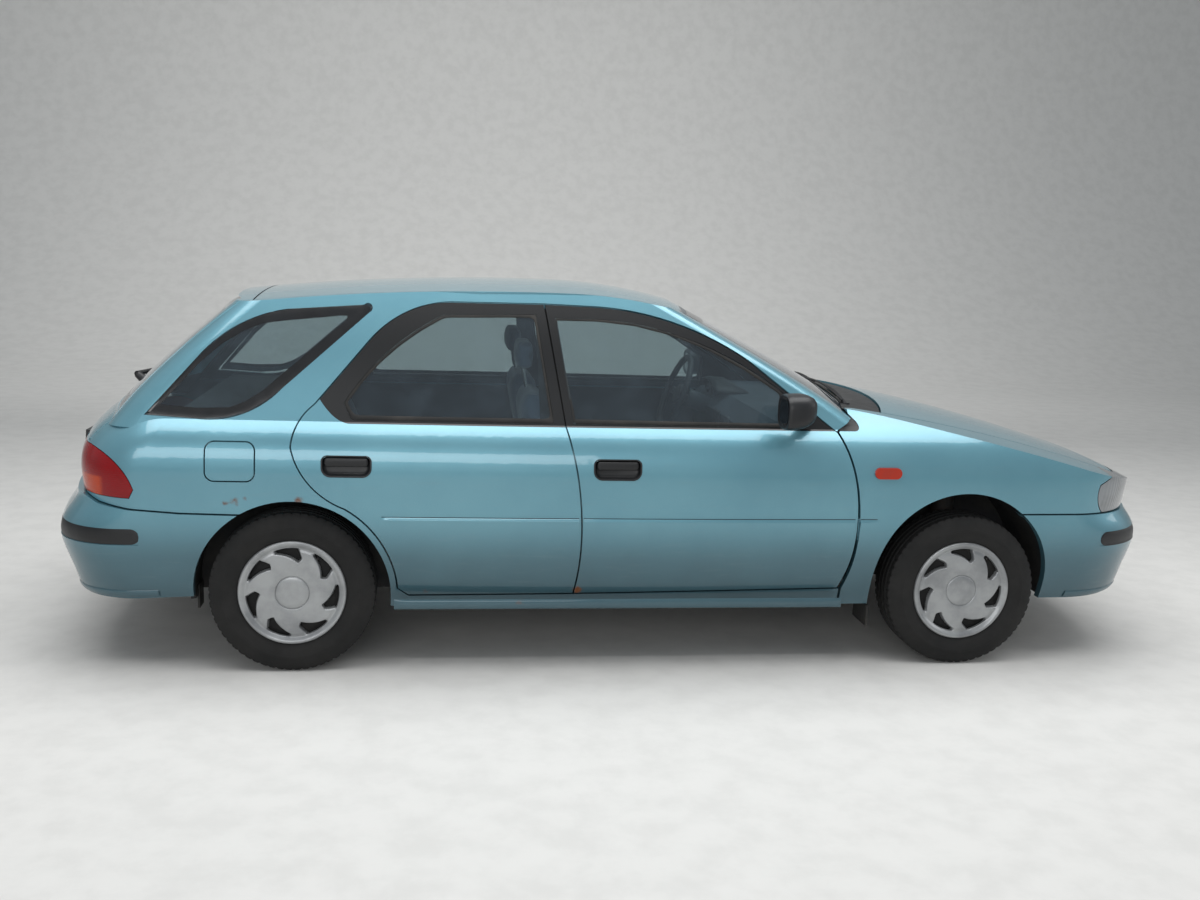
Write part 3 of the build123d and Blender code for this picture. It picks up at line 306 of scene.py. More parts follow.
def car_paint(zone: PaintZone) -> bpy.types.Material:
    """Pale blue-green metallic lacquer: flakes, a clear coat, painted shade below the crease, road film
    towards the sills, rust spots.

    Args:
        zone: What else the panel carries. Above the curve z = 0.905 + 7 max(0, -1.06 - x)^2 a door is
            black, and faces that look into the cabin are grained plastic or headliner.

    Returns:
        The material.
    """
    s = Shader(f"light_blue_metallic_lacquer_{zone.value}")
    where, normal = (s.add("SeparateXYZ", v).outputs for v in (s.coords, s.normal))
    cloud = s.add("MapRange SMOOTHSTEP", s.add("TexNoise", 2.2, 4, 0.6), 0.3, 0.75)
    base = s.add("Mix RGBA", cloud, linear("#6196A6"), linear("#6A9FAE"))
    # Flakes of 0.4 mm, coarser than the real 0.05 mm so that they show.
    flake = s.add("MapRange SMOOTHSTEP", s.add("TexNoise", 2600, 1), 0.55, 0.75)
    base = s.add("Mix RGBA", s.add("Math MULTIPLY", flake, 0.18), base, linear("#B4D6DF"))
    # Painted shade: the panels darken in dark teal below the crease towards the sills, standing for the dark
    # ground reflected in them.
    painted_ground_shade = s.add("Math MULTIPLY", s.add("MapRange SMOOTHSTEP", where["Z"], 0.40, 0.62, 1.0, 0.0), 0.62)
    base = s.add("Mix RGBA", painted_ground_shade, base, linear("#143743"))
    film_height = s.add("Math MULTIPLY_ADD", s.add("TexNoise", 5, 6, 0.6), -0.16, where["Z"])
    film = s.add("Math MULTIPLY", s.add("MapRange SMOOTHSTEP", film_height, 0.10, 0.46, 1.0, 0.0), 0.52)
    base = s.add("Mix RGBA", film, base, linear("#2F3F46"))
    squeezed = s.add("VectorMath MULTIPLY", s.coords, (9.0, 9.0, 70.0))
    streak = s.add("TexNoise", 1.0, 5.0, Vector=squeezed)
    run = s.add("Math MULTIPLY", s.add("MapRange SMOOTHSTEP", streak, 0.55, 0.8), 0.08)
    base = s.add("Mix RGBA", run, base, linear("#7F8E92"))
    rust = 0.0
    for point, radius in RUST_SPOTS:
        rust = s.add("Math MAXIMUM", s.near(point, radius), rust)
    scab = s.add("Mix RGBA", s.add("TexNoise", 90, 5), linear("#4A2A17"), linear("#8C552C"))
    base = s.add("Mix RGBA", rust, base, scab)
    dull, rough_rust = s.add("Math MULTIPLY_ADD", film, 0.35, 0.36), s.add("Math MULTIPLY", rust, 0.85)
    rough = s.add("Math MAXIMUM", dull, rough_rust)
    hidden = s.add("Math MAXIMUM", rust, s.add("Math MULTIPLY", film, 0.6))
    clear = s.add("Math SUBTRACT", 1.0, hidden, use_clamp=True)
    body = s.add(
        "BsdfPrincipled", Base_Color=base, Roughness=rough, Metallic=s.add("Math MULTIPLY", clear, 0.5),
        Coat_Weight=clear, Coat_Roughness=0.05, Normal=s.add("Bump", s.add("TexNoise", 420, 3), 0.15, 0.0004),
    )
    if zone is PaintZone.PLAIN:
        return s.done(body)
    trim = s.add(
        "BsdfPrincipled", Base_Color=linear("#6A7074" if zone is PaintZone.ROOF else "#2A3036"),
        Roughness=0.75, Normal=s.add("Bump", s.add("TexNoise", 1100, 2), 0.5, 0.0003),
    )
    if zone is PaintZone.ROOF:
        inward = s.add("Math LESS_THAN", normal["Z"], -0.4)
    elif zone is PaintZone.TAIL:
        inward = s.add("Math GREATER_THAN", normal["X"], 0.3)
    else:
        outward = s.add("Math MULTIPLY", s.add("Math SIGN", where["Y"]), normal["Y"])
        inward = s.add("Math LESS_THAN", outward, -0.3)
    body = s.add("MixShader", inward, body, trim)
    if zone is PaintZone.WALL:
        leaning = s.add("Math MULTIPLY_ADD", where["Z"], 0.176, where["X"])
        pillar = s.add("Math COMPARE", leaning, -0.131, 0.035)
        level = s.add("Math COMPARE", where["Z"], 1.1205, 0.2155)
        body = s.add("MixShader", s.add("Math MULTIPLY", pillar, level), body, black_frame(s))
    if zone is PaintZone.DOOR:
        past = s.add("Math MAXIMUM", s.add("Math SUBTRACT", -1.06, where["X"]), 0.0)
        line = s.add("Math MULTIPLY_ADD", s.add("Math MULTIPLY", past, past), 7.0, 0.905)
        body = s.add("MixShader", s.add("Math GREATER_THAN", where["Z"], line), body, black_frame(s))
    return s.done(body)


def window_glass(name: str, tint: str, film: float) -> bpy.types.Material:
    """Toughened glass as a tinted clear layer with a reflecting face and a little bluish dust that is partly a
    painted sky reflection.

    Args:
        name: Material name.
        tint: sRGB colour of what passes through.
        film: Share of dust that scatters light, bluish in part as a painted sky reflection.

    Returns:
        The material.
    """
    s = Shader(name)
    through = s.add("BsdfTransparent", Color=linear(tint))
    shine = s.add("BsdfGlossy", Color=(1, 1, 1, 1), Roughness=0.02)
    front = s.add("Math SUBTRACT", 1.0, s.add("NewGeometry").outputs["Backfacing"])
    fresnel = s.add("Math MULTIPLY", s.add("Fresnel", IOR=1.52), 1.3, use_clamp=True)
    pane = s.add("MixShader", s.add("Math MULTIPLY", fresnel, front), through, shine)
    # Bluish diffuse layer: partly real dust, partly a painted sky reflection that brightens the panes.
    dust = s.add("BsdfDiffuse", Color=linear("#8FA3B4"))
    cloud = s.add("MapRange SMOOTHSTEP", s.add("TexNoise", 9, 6, 0.7), 0.35, 0.8)
    cloud = s.add("Math MULTIPLY_ADD", cloud, 0.5, 0.5)
    return s.done(s.add("MixShader", s.add("Math MULTIPLY", cloud, film), pane, dust))


def repeater_lens() -> bpy.types.Material:
    """The amber moulded lens of a side repeater, with slanting ribs 4 mm wide.

    Returns:
        The material.
    """
    s = Shader("amber_moulded_lamp_lens")
    return s.done(s.add(
        "BsdfPrincipled", Base_Color=s.add("Mix RGBA", grime(s, 0.25), linear("#B02604"), linear("#3C3A38")),
        Roughness=0.16, IOR=1.45, Coat_Weight=0.3, Coat_Roughness=0.04,
        Normal=s.add("Bump", s.add("TexWave DIAGONAL", 90.0), 0.35, 0.0008),
    ))


def headlamp_glass() -> bpy.types.Material:
    """Headlamp glass with flutes 9 mm wide over a silvered reflector with one round bowl a side.

    Returns:
        The material.
    """
    s = Shader("fluted_headlamp_glass_over_reflector")
    where = s.add("SeparateXYZ", s.coords).outputs
    across = s.add("Math SUBTRACT", s.add("Math ABSOLUTE", where["Y"]), 0.500)
    up = s.add("Math SUBTRACT", where["Z"], 0.652)
    squares = [s.add("Math MULTIPLY", v, v) for v in (across, up)]
    radius = s.add("Math SQRT", s.add("Math ADD", *squares))
    bowl = s.add("MapRange SMOOTHSTEP", radius, 0.034, 0.040, 1.0, 0.0)
    inside = s.add("MapRange SMOOTHSTEP", radius, 0.036, 0.040)
    ring = s.add("Math MULTIPLY", inside, s.add("MapRange SMOOTHSTEP", radius, 0.042, 0.047, 1.0, 0.0))
    shield = s.add("MapRange SMOOTHSTEP", radius, 0.007, 0.016, 1.0, 0.0)
    base = s.add("Mix RGBA", grime(s, 1.0), linear("#8E9296"), linear("#7B7E80"))
    base = s.add("Mix RGBA", bowl, base, linear("#A6ACB1"))
    dark = s.add("Math MAXIMUM", s.add("Math MULTIPLY", ring, 0.6), s.add("Math MULTIPLY", shield, 0.4))
    base = s.add("Mix RGBA", dark, base, linear("#3A3F42"))
    return s.done(s.add(
        "BsdfPrincipled", Base_Color=base, Metallic=0.7, Roughness=0.3, Coat_Weight=1.0, Coat_Roughness=0.03,
        Normal=s.add("Bump", s.add("TexWave Y", 34.0), 0.5, 0.0012),
    ))


def tail_lens() -> bpy.types.Material:
    """The tail lamp: deep red moulding with an amber field low at the rear and level ribs 7.5 mm wide.

    Returns:
        The material.
    """
    s = Shader("red_and_amber_moulded_lamp_lens")
    where = s.add("SeparateXYZ", s.coords).outputs
    low = s.add("MapRange SMOOTHSTEP", where["Z"], 0.700, 0.712, 1.0, 0.0)
    amber = s.add("Math MULTIPLY", low, s.add("MapRange SMOOTHSTEP", where["X"], -1.925, -1.900, 1.0, 0.0))
    base = s.add("Mix RGBA", amber, linear("#86020A"), linear("#B83A06"))
    return s.done(s.add(
        "BsdfPrincipled", Base_Color=s.add("Mix RGBA", grime(s, 0.2), base, linear("#2C0808")),
        Roughness=0.14, IOR=1.4, Coat_Weight=0.2, Coat_Roughness=0.04,
        Normal=s.add("Bump", s.add("TexWave Z", 42.0), 0.3, 0.0006),
    ))


def woven_cloth() -> bpy.types.Material:
    """Seat cloth: warp and weft as two crossed waves, with a slow fade.

    Returns:
        The material.
    """
    s = Shader("woven_seat_cloth_blue_grey")
    # Threads of 2.9 mm, coarser than the real 1 mm so that they show.
    weave = s.add("Math MULTIPLY", s.add("TexWave Y", 110.0, 1.2), s.add("TexWave Z", 110.0, 1.2))
    fade = s.add("MapRange SMOOTHSTEP", s.add("TexNoise", 6, 4), 0.3, 0.75)
    base = s.add("Mix RGBA", fade, linear("#5B6A80"), linear("#6C7A8E"))
    base = s.add("Mix RGBA", s.add("Math MULTIPLY", weave, 0.45), base, linear("#39434F"))
    return s.done(s.add(
        "BsdfPrincipled", Base_Color=base, Roughness=0.92, Sheen_Weight=0.5,
        Normal=s.add("Bump", weave, 0.5, 0.0006),
    ))


class Palette:
    """Every material of the car, made once."""

    def __init__(self) -> None:
        """Makes every material."""
        self.made: dict[str, bpy.types.Material] = {k: f.make() for k, f in FINISHES.items()}
        for zone in PaintZone:
            self.made["paint" if zone is PaintZone.PLAIN else f"paint_{zone.value}"] = car_paint(zone)
        self.made["glass"] = window_glass("tinted_toughened_window_glass", "#DCE4E5", 0.07)
        self.made["screen"] = window_glass("laminated_windscreen_glass", "#E0E7E7", 0.06)
        self.made["lamp_glass"] = headlamp_glass()
        self.made["lens_red"] = tail_lens()
        self.made["lens_amber"] = repeater_lens()
        self.made["seat_cloth"] = woven_cloth()

    def __getitem__(self, key: str) -> bpy.types.Material:
        """The material of a key."""
        return self.made[key]


LOOK_OF_NODES = (
    ("underbody", "floor_pan boot_floor engine_bay fuel_tank"), ("screen", "windscreen"),
    ("glass", "quarter_windows tailgate_glass window_"), ("black_trim", "cowl_panel grille fittings_"),
    ("lamp_glass", "headlamps"), ("lens_red", "tail_lamps"), ("lens_amber", "side_repeaters"),
    ("cast", "engine front_axle rear_axle knuckle_"), ("exhaust", "exhaust"), ("cabin", "dashboard"),
    ("cabin_dark", "parcel_shelf steering_wheel"), ("rubber", "mud_flaps"),
    ("seat_cloth", "front_seats rear_seat"), ("tyre", "tyre_"), ("cover", "wheel_"), ("paint_door", "door_"),
    ("paint_wall", "side_frame"), ("paint_roof", "roof_panel"), ("paint_tail", "tailgate"),
)


def look_for(node: str) -> str:
    """The palette key of a CAD node; the first start of its name that fits counts, and paint is the rest."""
    return next((look for look, starts in LOOK_OF_NODES if node.startswith(tuple(starts.split()))), "paint")


Face = tuple[int, ...]
Corner = tuple[float, float]
Outline = Sequence[Sequence[float]]
Piece = bpy.types.Object


def body_of(node: str) -> str:
    """The name of the body that a CAD node rides on."""
    return frame["nodes"][node].parent.name.split(":", 1)[1]


def turn(count: int) -> np.ndarray:
    """Evenly spaced angles of one full turn, without the last."""
    return np.linspace(0, 2 * np.pi, count, endpoint=False)


def grid_faces(rows: int, columns: int, wrap_rows: bool = False, wrap_columns: bool = False) -> list[Face]:
    """Quads over a grid of points stored row by row.

    Args:
        rows: Number of rows.
        columns: Number of points in a row.
        wrap_rows: Joins the last row to the first.
        wrap_columns: Joins the last point of a row to its first.

    Returns:
        Vertex numbers of each quad.
    """
    r = np.arange(rows if wrap_rows else rows - 1)[:, None]
    c = np.arange(columns if wrap_columns else columns - 1)[None, :]
    r2, c2 = (r + 1) % rows, (c + 1) % columns
    quads = np.stack([r * columns + c, r * columns + c2, r2 * columns + c2, r2 * columns + c], -1)
    return [tuple(q) for q in quads.reshape(-1, 4).tolist()]


def capped(rings: int, sides: int) -> list[Face]:
    """Quads over closed rings of points stored ring by ring, with both end rings filled."""
    ends = [tuple(range(sides)), tuple(range(rings * sides - 1, (rings - 1) * sides - 1, -1))]
    return grid_faces(rings, sides, wrap_columns=True) + ends


def make_active(obj: Piece) -> None:
    """Selects one object alone and makes it active.

    Args:
        obj: The object.
    """
    bpy.ops.object.select_all(action="DESELECT")
    obj.select_set(True)
    bpy.context.view_layer.objects.active = obj


@dataclass
class Maker:
    """Makes pieces in the looks of a palette.

    Args:
        palette: The materials.
    """

    palette: Palette

    def mesh(
        self, name: str, points: np.ndarray, faces: Sequence[Face], look: str, sharp: float = 40.0,
    ) -> Piece:
        """Makes a piece from points and faces, with outward faces and smooth shading up to an angle.

        Args:
            name: Name of the piece.
            points: Array of points in metres.
            faces: Vertex numbers of each face.
            look: Palette key.
            sharp: Edges sharper than this many degrees stay sharp.

        Returns:
            The piece, linked to the scene.
        """
        mesh = bpy.data.meshes.new(name)
        mesh.from_pydata(np.asarray(points, float).reshape(-1, 3).tolist(), [], faces)
        mesh.validate()
        obj = bpy.data.objects.new(name, mesh)
        bpy.context.scene.collection.objects.link(obj)
        mesh.materials.append(self.palette[look])
        make_active(obj)
        bpy.ops.object.mode_set(mode="EDIT")
        bpy.ops.mesh.select_all(action="SELECT")
        bpy.ops.mesh.remove_doubles(threshold=0.00002)
        bpy.ops.mesh.normals_make_consistent(inside=False)
        bpy.ops.object.mode_set(mode="OBJECT")
        bpy.ops.object.shade_smooth_by_angle(angle=math.radians(sharp))
        return obj

    def box(self, name: str, low: Sequence[float], high: Sequence[float], radius: float, look: str) -> Piece:
        """A box between two corners with rounded edges.

        Args:
            name: Name of the piece.
            low: One corner.
            high: The corner across.
            radius: Radius of the edges.
            look: Palette key.

        Returns:
            The piece.
        """
        ends = np.sort([low, high], axis=0)
        corners = [[ends[i][0], ends[j][1], ends[k][2]] for i in (0, 1) for j in (0, 1) for k in (0, 1)]
        faces = [(0, 1, 3, 2), (4, 6, 7, 5), (0, 4, 5, 1), (2, 3, 7, 6), (0, 2, 6, 4), (1, 5, 7, 3)]
        obj = self.mesh(name, corners, faces, look)
        bevel = obj.modifiers.new("round", "BEVEL")
        bevel.width, bevel.segments = radius, 4
        return obj

    def bar(
        self, name: str, line: Outline, radius: float | Sequence[float], look: str, sides: int = 14,
    ) -> Piece:
        """A round bar along a line with closed ends.

        Args:
            name: Name of the piece.
            line: Points along the middle.
            radius: One radius or one for each point.
            look: Palette key.
            sides: Points around.

        Returns:
            The piece.
        """
        line = np.asarray(line, float)
        radii = np.broadcast_to(np.asarray(radius, float), (len(line),))
        tangent = np.gradient(line, axis=0)
        tangent /= np.linalg.norm(tangent, axis=1)[:, None]
        helper = np.where(np.abs(tangent[:, 2:3]) < 0.9, [[0.0, 0.0, 1.0]], [[0.0, 1.0, 0.0]])
        across = np.cross(tangent, helper)
        across /= np.linalg.norm(across, axis=1)[:, None]
        third = np.cross(tangent, across)
        a = turn(sides)[None, :, None]
        outward = np.cos(a) * across[:, None] + np.sin(a) * third[:, None]
        rings = line[:, None] + radii[:, None, None] * outward
        return self.mesh(name, rings, capped(len(line), sides), look)

    def loft(self, name: str, loops: Sequence[Outline], look: str) -> Piece:
        """A closed solid through a row of like closed loops, with flat ends and its faces outward.

        Args:
            name: Name of the piece.
            loops: Closed loops with like numbers of points.
            look: Palette key.

        Returns:
            The piece.
        """
        points = np.array([[tuple(q) for q in loop] for loop in loops])
        obj = self.mesh(name, points, capped(*points.shape[:2]), look)
        if sum(q.center.dot(q.normal) * q.area for q in obj.data.polygons) < 0:
            obj.data.flip_normals()
        return obj


def rounded(wave: np.ndarray, power: float) -> np.ndarray:
    """A sine or cosine raised to a power with its sign kept, for the sides of a superellipse."""
    return np.sign(wave) * np.abs(wave) ** power


class Skin:
    """The outer faces of some CAD nodes or pieces, found by rays.

    Args:
        nodes: Names of the CAD nodes or pieces.
    """

    OUT_X, OUT_Y = 3.0, 1.6  # how far out the rays start, in metres

    def __init__(self, *nodes: str) -> None:
        """Gathers the faces of the nodes in one tree."""
        points, faces, start = [], [], 0
        for node in nodes:
            mesh = (frame["nodes"][node] if node in frame["nodes"] else bpy.data.objects[node]).data
            points += [v.co.copy() for v in mesh.vertices]
            faces += [tuple(start + i for i in p.vertices) for p in mesh.polygons]
            start = len(points)
        self.tree = BVHTree.FromPolygons(points, faces)

    def side(self, x: float, z: float, side: Side) -> float | None:
        """The outermost y of the skin at x and z on one side, or None where there is none."""
        hit = self.seen(View[side.name], x, z)
        return hit[0].y if hit else None

    def seen(self, view: View, a: float, b: float) -> tuple[Vector, Vector] | None:
        """The first point and its outward normal from a side; a and b are x and z, or y and z from an end.

        Args:
            view: The side.
            a: x, or y from an end.
            b: z.

        Returns:
            The point and normal, or None.
        """
        axis, sign = view.value
        origin = Vector((a, self.OUT_Y * sign, b)) if axis == 1 else Vector((self.OUT_X * sign, a, b))
        way = Vector((0, -sign, 0)) if axis == 1 else Vector((-sign, 0, 0))
        hit = self.tree.ray_cast(origin, way)
        if hit[0] is None:
            return None
        return hit[0], (hit[1] if hit[1].dot(way) < 0 else -hit[1])

    def towards(self, origin: Sequence[float], target: Sequence[float]) -> tuple[Vector, Vector] | None:
        """The first point and normal on a ray from origin towards target.

        Args:
            origin: Start of the ray.
            target: Point that it runs to.

        Returns:
            The point and normal, or None.
        """
        way = Vector(target) - Vector(origin)
        hit = self.tree.ray_cast(Vector(origin), way.normalized())
        return None if hit[0] is None else (hit[0], hit[1])


def arc(p: Sequence[float], q: Sequence[float], r: Sequence[float], count: int = 14) -> list[Corner]:
    """Points on the curve from p to r that passes through q half way.

    Args:
        p: Start.
        q: Point half way.
        r: End.
        count: Number of points.

    Returns:
        The points.
    """
    t = np.linspace(0, 1, count)[:, None]
    p, q, r = (np.array(v, float) for v in (p, q, r))
    middle = 2 * q - (p + r) / 2
    return [tuple(v) for v in (1 - t) ** 2 * p + 2 * t * (1 - t) * middle + t * t * r]


def soften(outline: Outline, radius: float) -> list[Corner]:
    """Rounds each corner of a closed outline by about a radius.

    Args:
        outline: Closed outline.
        radius: Radius in metres.

    Returns:
        The rounded outline.
    """
    pts = np.asarray(outline, float)
    out: list[Corner] = []
    for i, here in enumerate(pts):
        legs = [pts[i - 1] - here, pts[(i + 1) % len(pts)] - here]
        sizes = [float(np.linalg.norm(leg)) for leg in legs]
        ends = [here + leg / size * min(radius, size * 0.45) for leg, size in zip(legs, sizes)]
        out += arc(ends[0], (ends[0] + ends[1] + 2 * here) / 4, ends[1], 6)
    return out


def resample(outline: Outline, count: int) -> np.ndarray:
    """A closed outline with count points evenly along it.

    Args:
        outline: Closed outline.
        count: Number of points.

    Returns:
        Array of points.
    """
    pts = np.asarray(list(outline) + [outline[0]], float)
    step = np.r_[0, np.cumsum(np.linalg.norm(np.diff(pts, axis=0), axis=1))]
    t = np.linspace(0, step[-1], count, endpoint=False)
    return np.stack([np.interp(t, step, pts[:, i]) for i in (0, 1)], 1)


@dataclass
class Wheel(Maker):
    """One wheel's looks: a tyre with real tread grooves, a rolled steel rim and a pinwheel cover.

    Args:
        axle: front or rear.
        side: right or left.
        tyre_steps: Steps of the tyre round the axle.
        rim_steps: Steps of the rim.
        cover_steps: Steps of the cover.
        openings: Number of the cover's swept openings.
        cover_r: Radius of the cover in metres.
        grooves: Middles of the tread's grooves, outward from the middle plane.
        rim: Radius and depth of each point of the rim's section.
    """

    axle: str
    side: str
    tyre_steps: int = 240
    rim_steps: int = 96
    cover_steps: int = 448
    openings: int = 7
    cover_r: float = 0.1915
    grooves: tuple[float, ...] = (-0.046, -0.016, 0.016, 0.046)
    rim: tuple[Corner, ...] = (
        (0.166, -0.075), (0.193, -0.075), (0.193, -0.070), (0.182, -0.066), (0.182, -0.020), (0.178, -0.008),
        (0.178, 0.008), (0.182, 0.020), (0.182, 0.060), (0.1905, 0.064), (0.1905, 0.070), (0.166, 0.070),
        (0.166, 0.044), (0.120, 0.036), (0.080, 0.042), (0.0282, 0.040), (0.0282, 0.030), (0.080, 0.031),
        (0.120, 0.026), (0.166, 0.030),
    )

    def __post_init__(self) -> None:
        """Works out the wheel's place and how far its cover is turned."""
        front = self.axle == "front"
        self.node = f"{self.axle}_{self.side}"
        self.sign = -1 if self.side == "right" else 1
        self.lead = math.radians(4.0 if front else 0.0)
        self.centre = np.array([AXLE_X if front else -AXLE_X, self.sign * TRACK / 2, TYRE_R])

    def place(self, radius: np.ndarray, depth: np.ndarray, angle: np.ndarray) -> np.ndarray:
        """Points from radius, depth outward from the wheel's middle plane, and angle about the axle.

        The angle runs clockwise from the top, seen from outside.

        Args:
            radius: Distance from the axle.
            depth: Distance from the middle plane.
            angle: Angle about the axle in radians.

        Returns:
            Array of points.
        """
        radius, depth, angle = np.broadcast_arrays(radius, depth, angle)
        return np.stack([
            self.centre[0] - self.sign * radius * np.sin(angle), self.centre[1] + self.sign * depth,
            self.centre[2] + radius * np.cos(angle),
        ], -1)

    def lathe(self, name: str, radius: np.ndarray, depth: np.ndarray, look: str) -> Piece:
        """A closed section turned about the axle: a row of radii for each step, and one row of depths."""
        points = self.place(radius, depth, turn(len(radius))[:, None])
        return self.mesh(name, points, grid_faces(*radius.shape, True, True), look, 32)

    def tyre(self) -> Piece:
        """The tyre: a lathed section with four grooves; every fourth step of the shoulders is cut 4 mm.

        Returns:
            The piece.
        """
        tread = [-0.070]
        for groove in self.grooves:
            tread += [groove - 0.0051, groove - 0.0035, groove + 0.0035, groove + 0.0051]
        tread += [0.070]
        section = [
            (0.184, -0.068), (0.190, -0.074), (0.198, -0.079), (0.215, -0.084), (0.236, -0.0872),
            (0.2365, -0.0878), (0.244, -0.0878), (0.2445, -0.0872), (0.262, -0.0835), (0.276, -0.079),
            (0.285, -0.0745),
        ]
        crown = []
        for i, depth in enumerate(tread):
            low = i % 4 in (2, 3) and 0 < i < len(tread) - 1
            top = TYRE_R - 0.0004 - 3.2 * max(abs(depth) - 0.04, 0) ** 2
            crown.append((top - (0.007 if low else 0.0), depth))
        prof = np.array(section + crown + [(r, -d) for r, d in reversed(section)])
        radius = np.repeat(prof[None, :, 0], self.tyre_steps, 0)
        shoulder = (np.abs(prof[None, :, 1]) > 0.05) & (radius > 0.283)
        cut = (np.arange(self.tyre_steps)[:, None] % 4 == 0) & shoulder
        radius = np.where(cut, radius - 0.004, radius)
        obj = self.lathe(f"tyre_look_{self.node}", radius, prof[None, :, 1], "tyre")
        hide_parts(f"tyre_{self.node}")
        return obj

    def cover(self) -> Piece:
        """The cover, a height field over radius r and clockwise angle t with seven swept openings.

        An opening runs from t = -22 to 15 degrees in each seventh. Its floor lies between the ring at
        0.85 R and a line that falls from 0.80 R to 0.60 R, and its leading edge leans back outwards.

        Returns:
            The piece.
        """
        share = np.r_[
            0, 0.10, 0.20, 0.29, 0.302, 0.312, 0.325, 0.34, np.linspace(0.38, 0.88, 74),
            0.90, 0.92, 0.945, 0.965, 0.98, 0.992, 1.0, 0.997,
        ]
        face = np.interp(share, *zip(
            (0, 0.0802), (0.20, 0.0796), (0.29, 0.0784), (0.302, 0.0772), (0.312, 0.0752), (0.325, 0.0775),
            (0.40, 0.0790), (0.60, 0.0792), (0.80, 0.0770), (0.845, 0.0745), (0.87, 0.0742), (0.89, 0.0765),
            (0.92, 0.0808), (0.945, 0.0826), (0.965, 0.0832), (0.98, 0.0822), (0.992, 0.0795), (1.0, 0.0745),
        ))
        face[-1] = 0.066
        q, angle = np.meshgrid(share, turn(self.cover_steps), indexing="ij")
        t = (np.degrees(angle - self.lead) + 26) % (360 / self.openings) - 26
        floor = 0.80 - 0.20 * np.clip((t + 21) / 31, 0, 1) + 0.08 * np.clip((t - 10) / 5, 0, 1) ** 2
        edge = 15 - 7.5 * np.clip((q - 0.66) / 0.17, 0, 1) - 4 * np.clip((0.66 - q) / 0.06, 0, 1) ** 2

        def soft(x: np.ndarray) -> np.ndarray:
            """A step from 0 to 1 with a soft shoulder."""
            return 1 / (1 + np.exp(-np.clip(x, -30, 30)))

        opening = soft((q - floor) * 170) * soft((0.852 - q) * 260)
        opening = opening * soft((edge - t) * 1.5) * soft((t + 22) * 1.5)
        points = self.place(q * self.cover_r, face[:, None] - 0.024 * opening, angle)
        faces = grid_faces(*q.shape, wrap_columns=True)
        obj = self.mesh(f"wheel_cover_{self.node}", points, faces, "cover", 60)
        # Painted shade: the floors of the openings, 24 mm below the face, are black where the real cover is
        # open to the dark behind it.
        obj.data.materials.append(self.palette["shade"])
        mids = np.zeros(len(obj.data.polygons) * 3)
        obj.data.polygons.foreach_get("center", mids)
        x, y, z = mids.reshape(-1, 3).T
        deep = np.abs(y) - TRACK / 2 < 0.0600
        inner = np.hypot(x - self.centre[0], z - self.centre[2]) < 0.172
        obj.data.polygons.foreach_set("material_index", (deep & inner).astype(np.int32))
        return obj

    def build(self) -> None:
        """Makes the pieces and lets them turn with the wheel."""
        section = np.array(self.rim)
        radius = np.repeat(section[None, :, 0], self.rim_steps, 0)
        rim = self.lathe(f"rim_look_{self.node}", radius, section[None, :, 1], "steel")
        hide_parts(f"wheel_{self.node}")
        stem = self.place(np.array([0.158, 0.157, 0.156]), np.array([0.062, 0.075, 0.079]), np.array([0.62]))
        pieces = [self.tyre(), rim, self.cover(), self.bar(f"valve_{self.node}", stem, 0.0035, "rubber", 10)]
        for piece in pieces:
            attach(piece, body_of(f"wheel_{self.node}"))


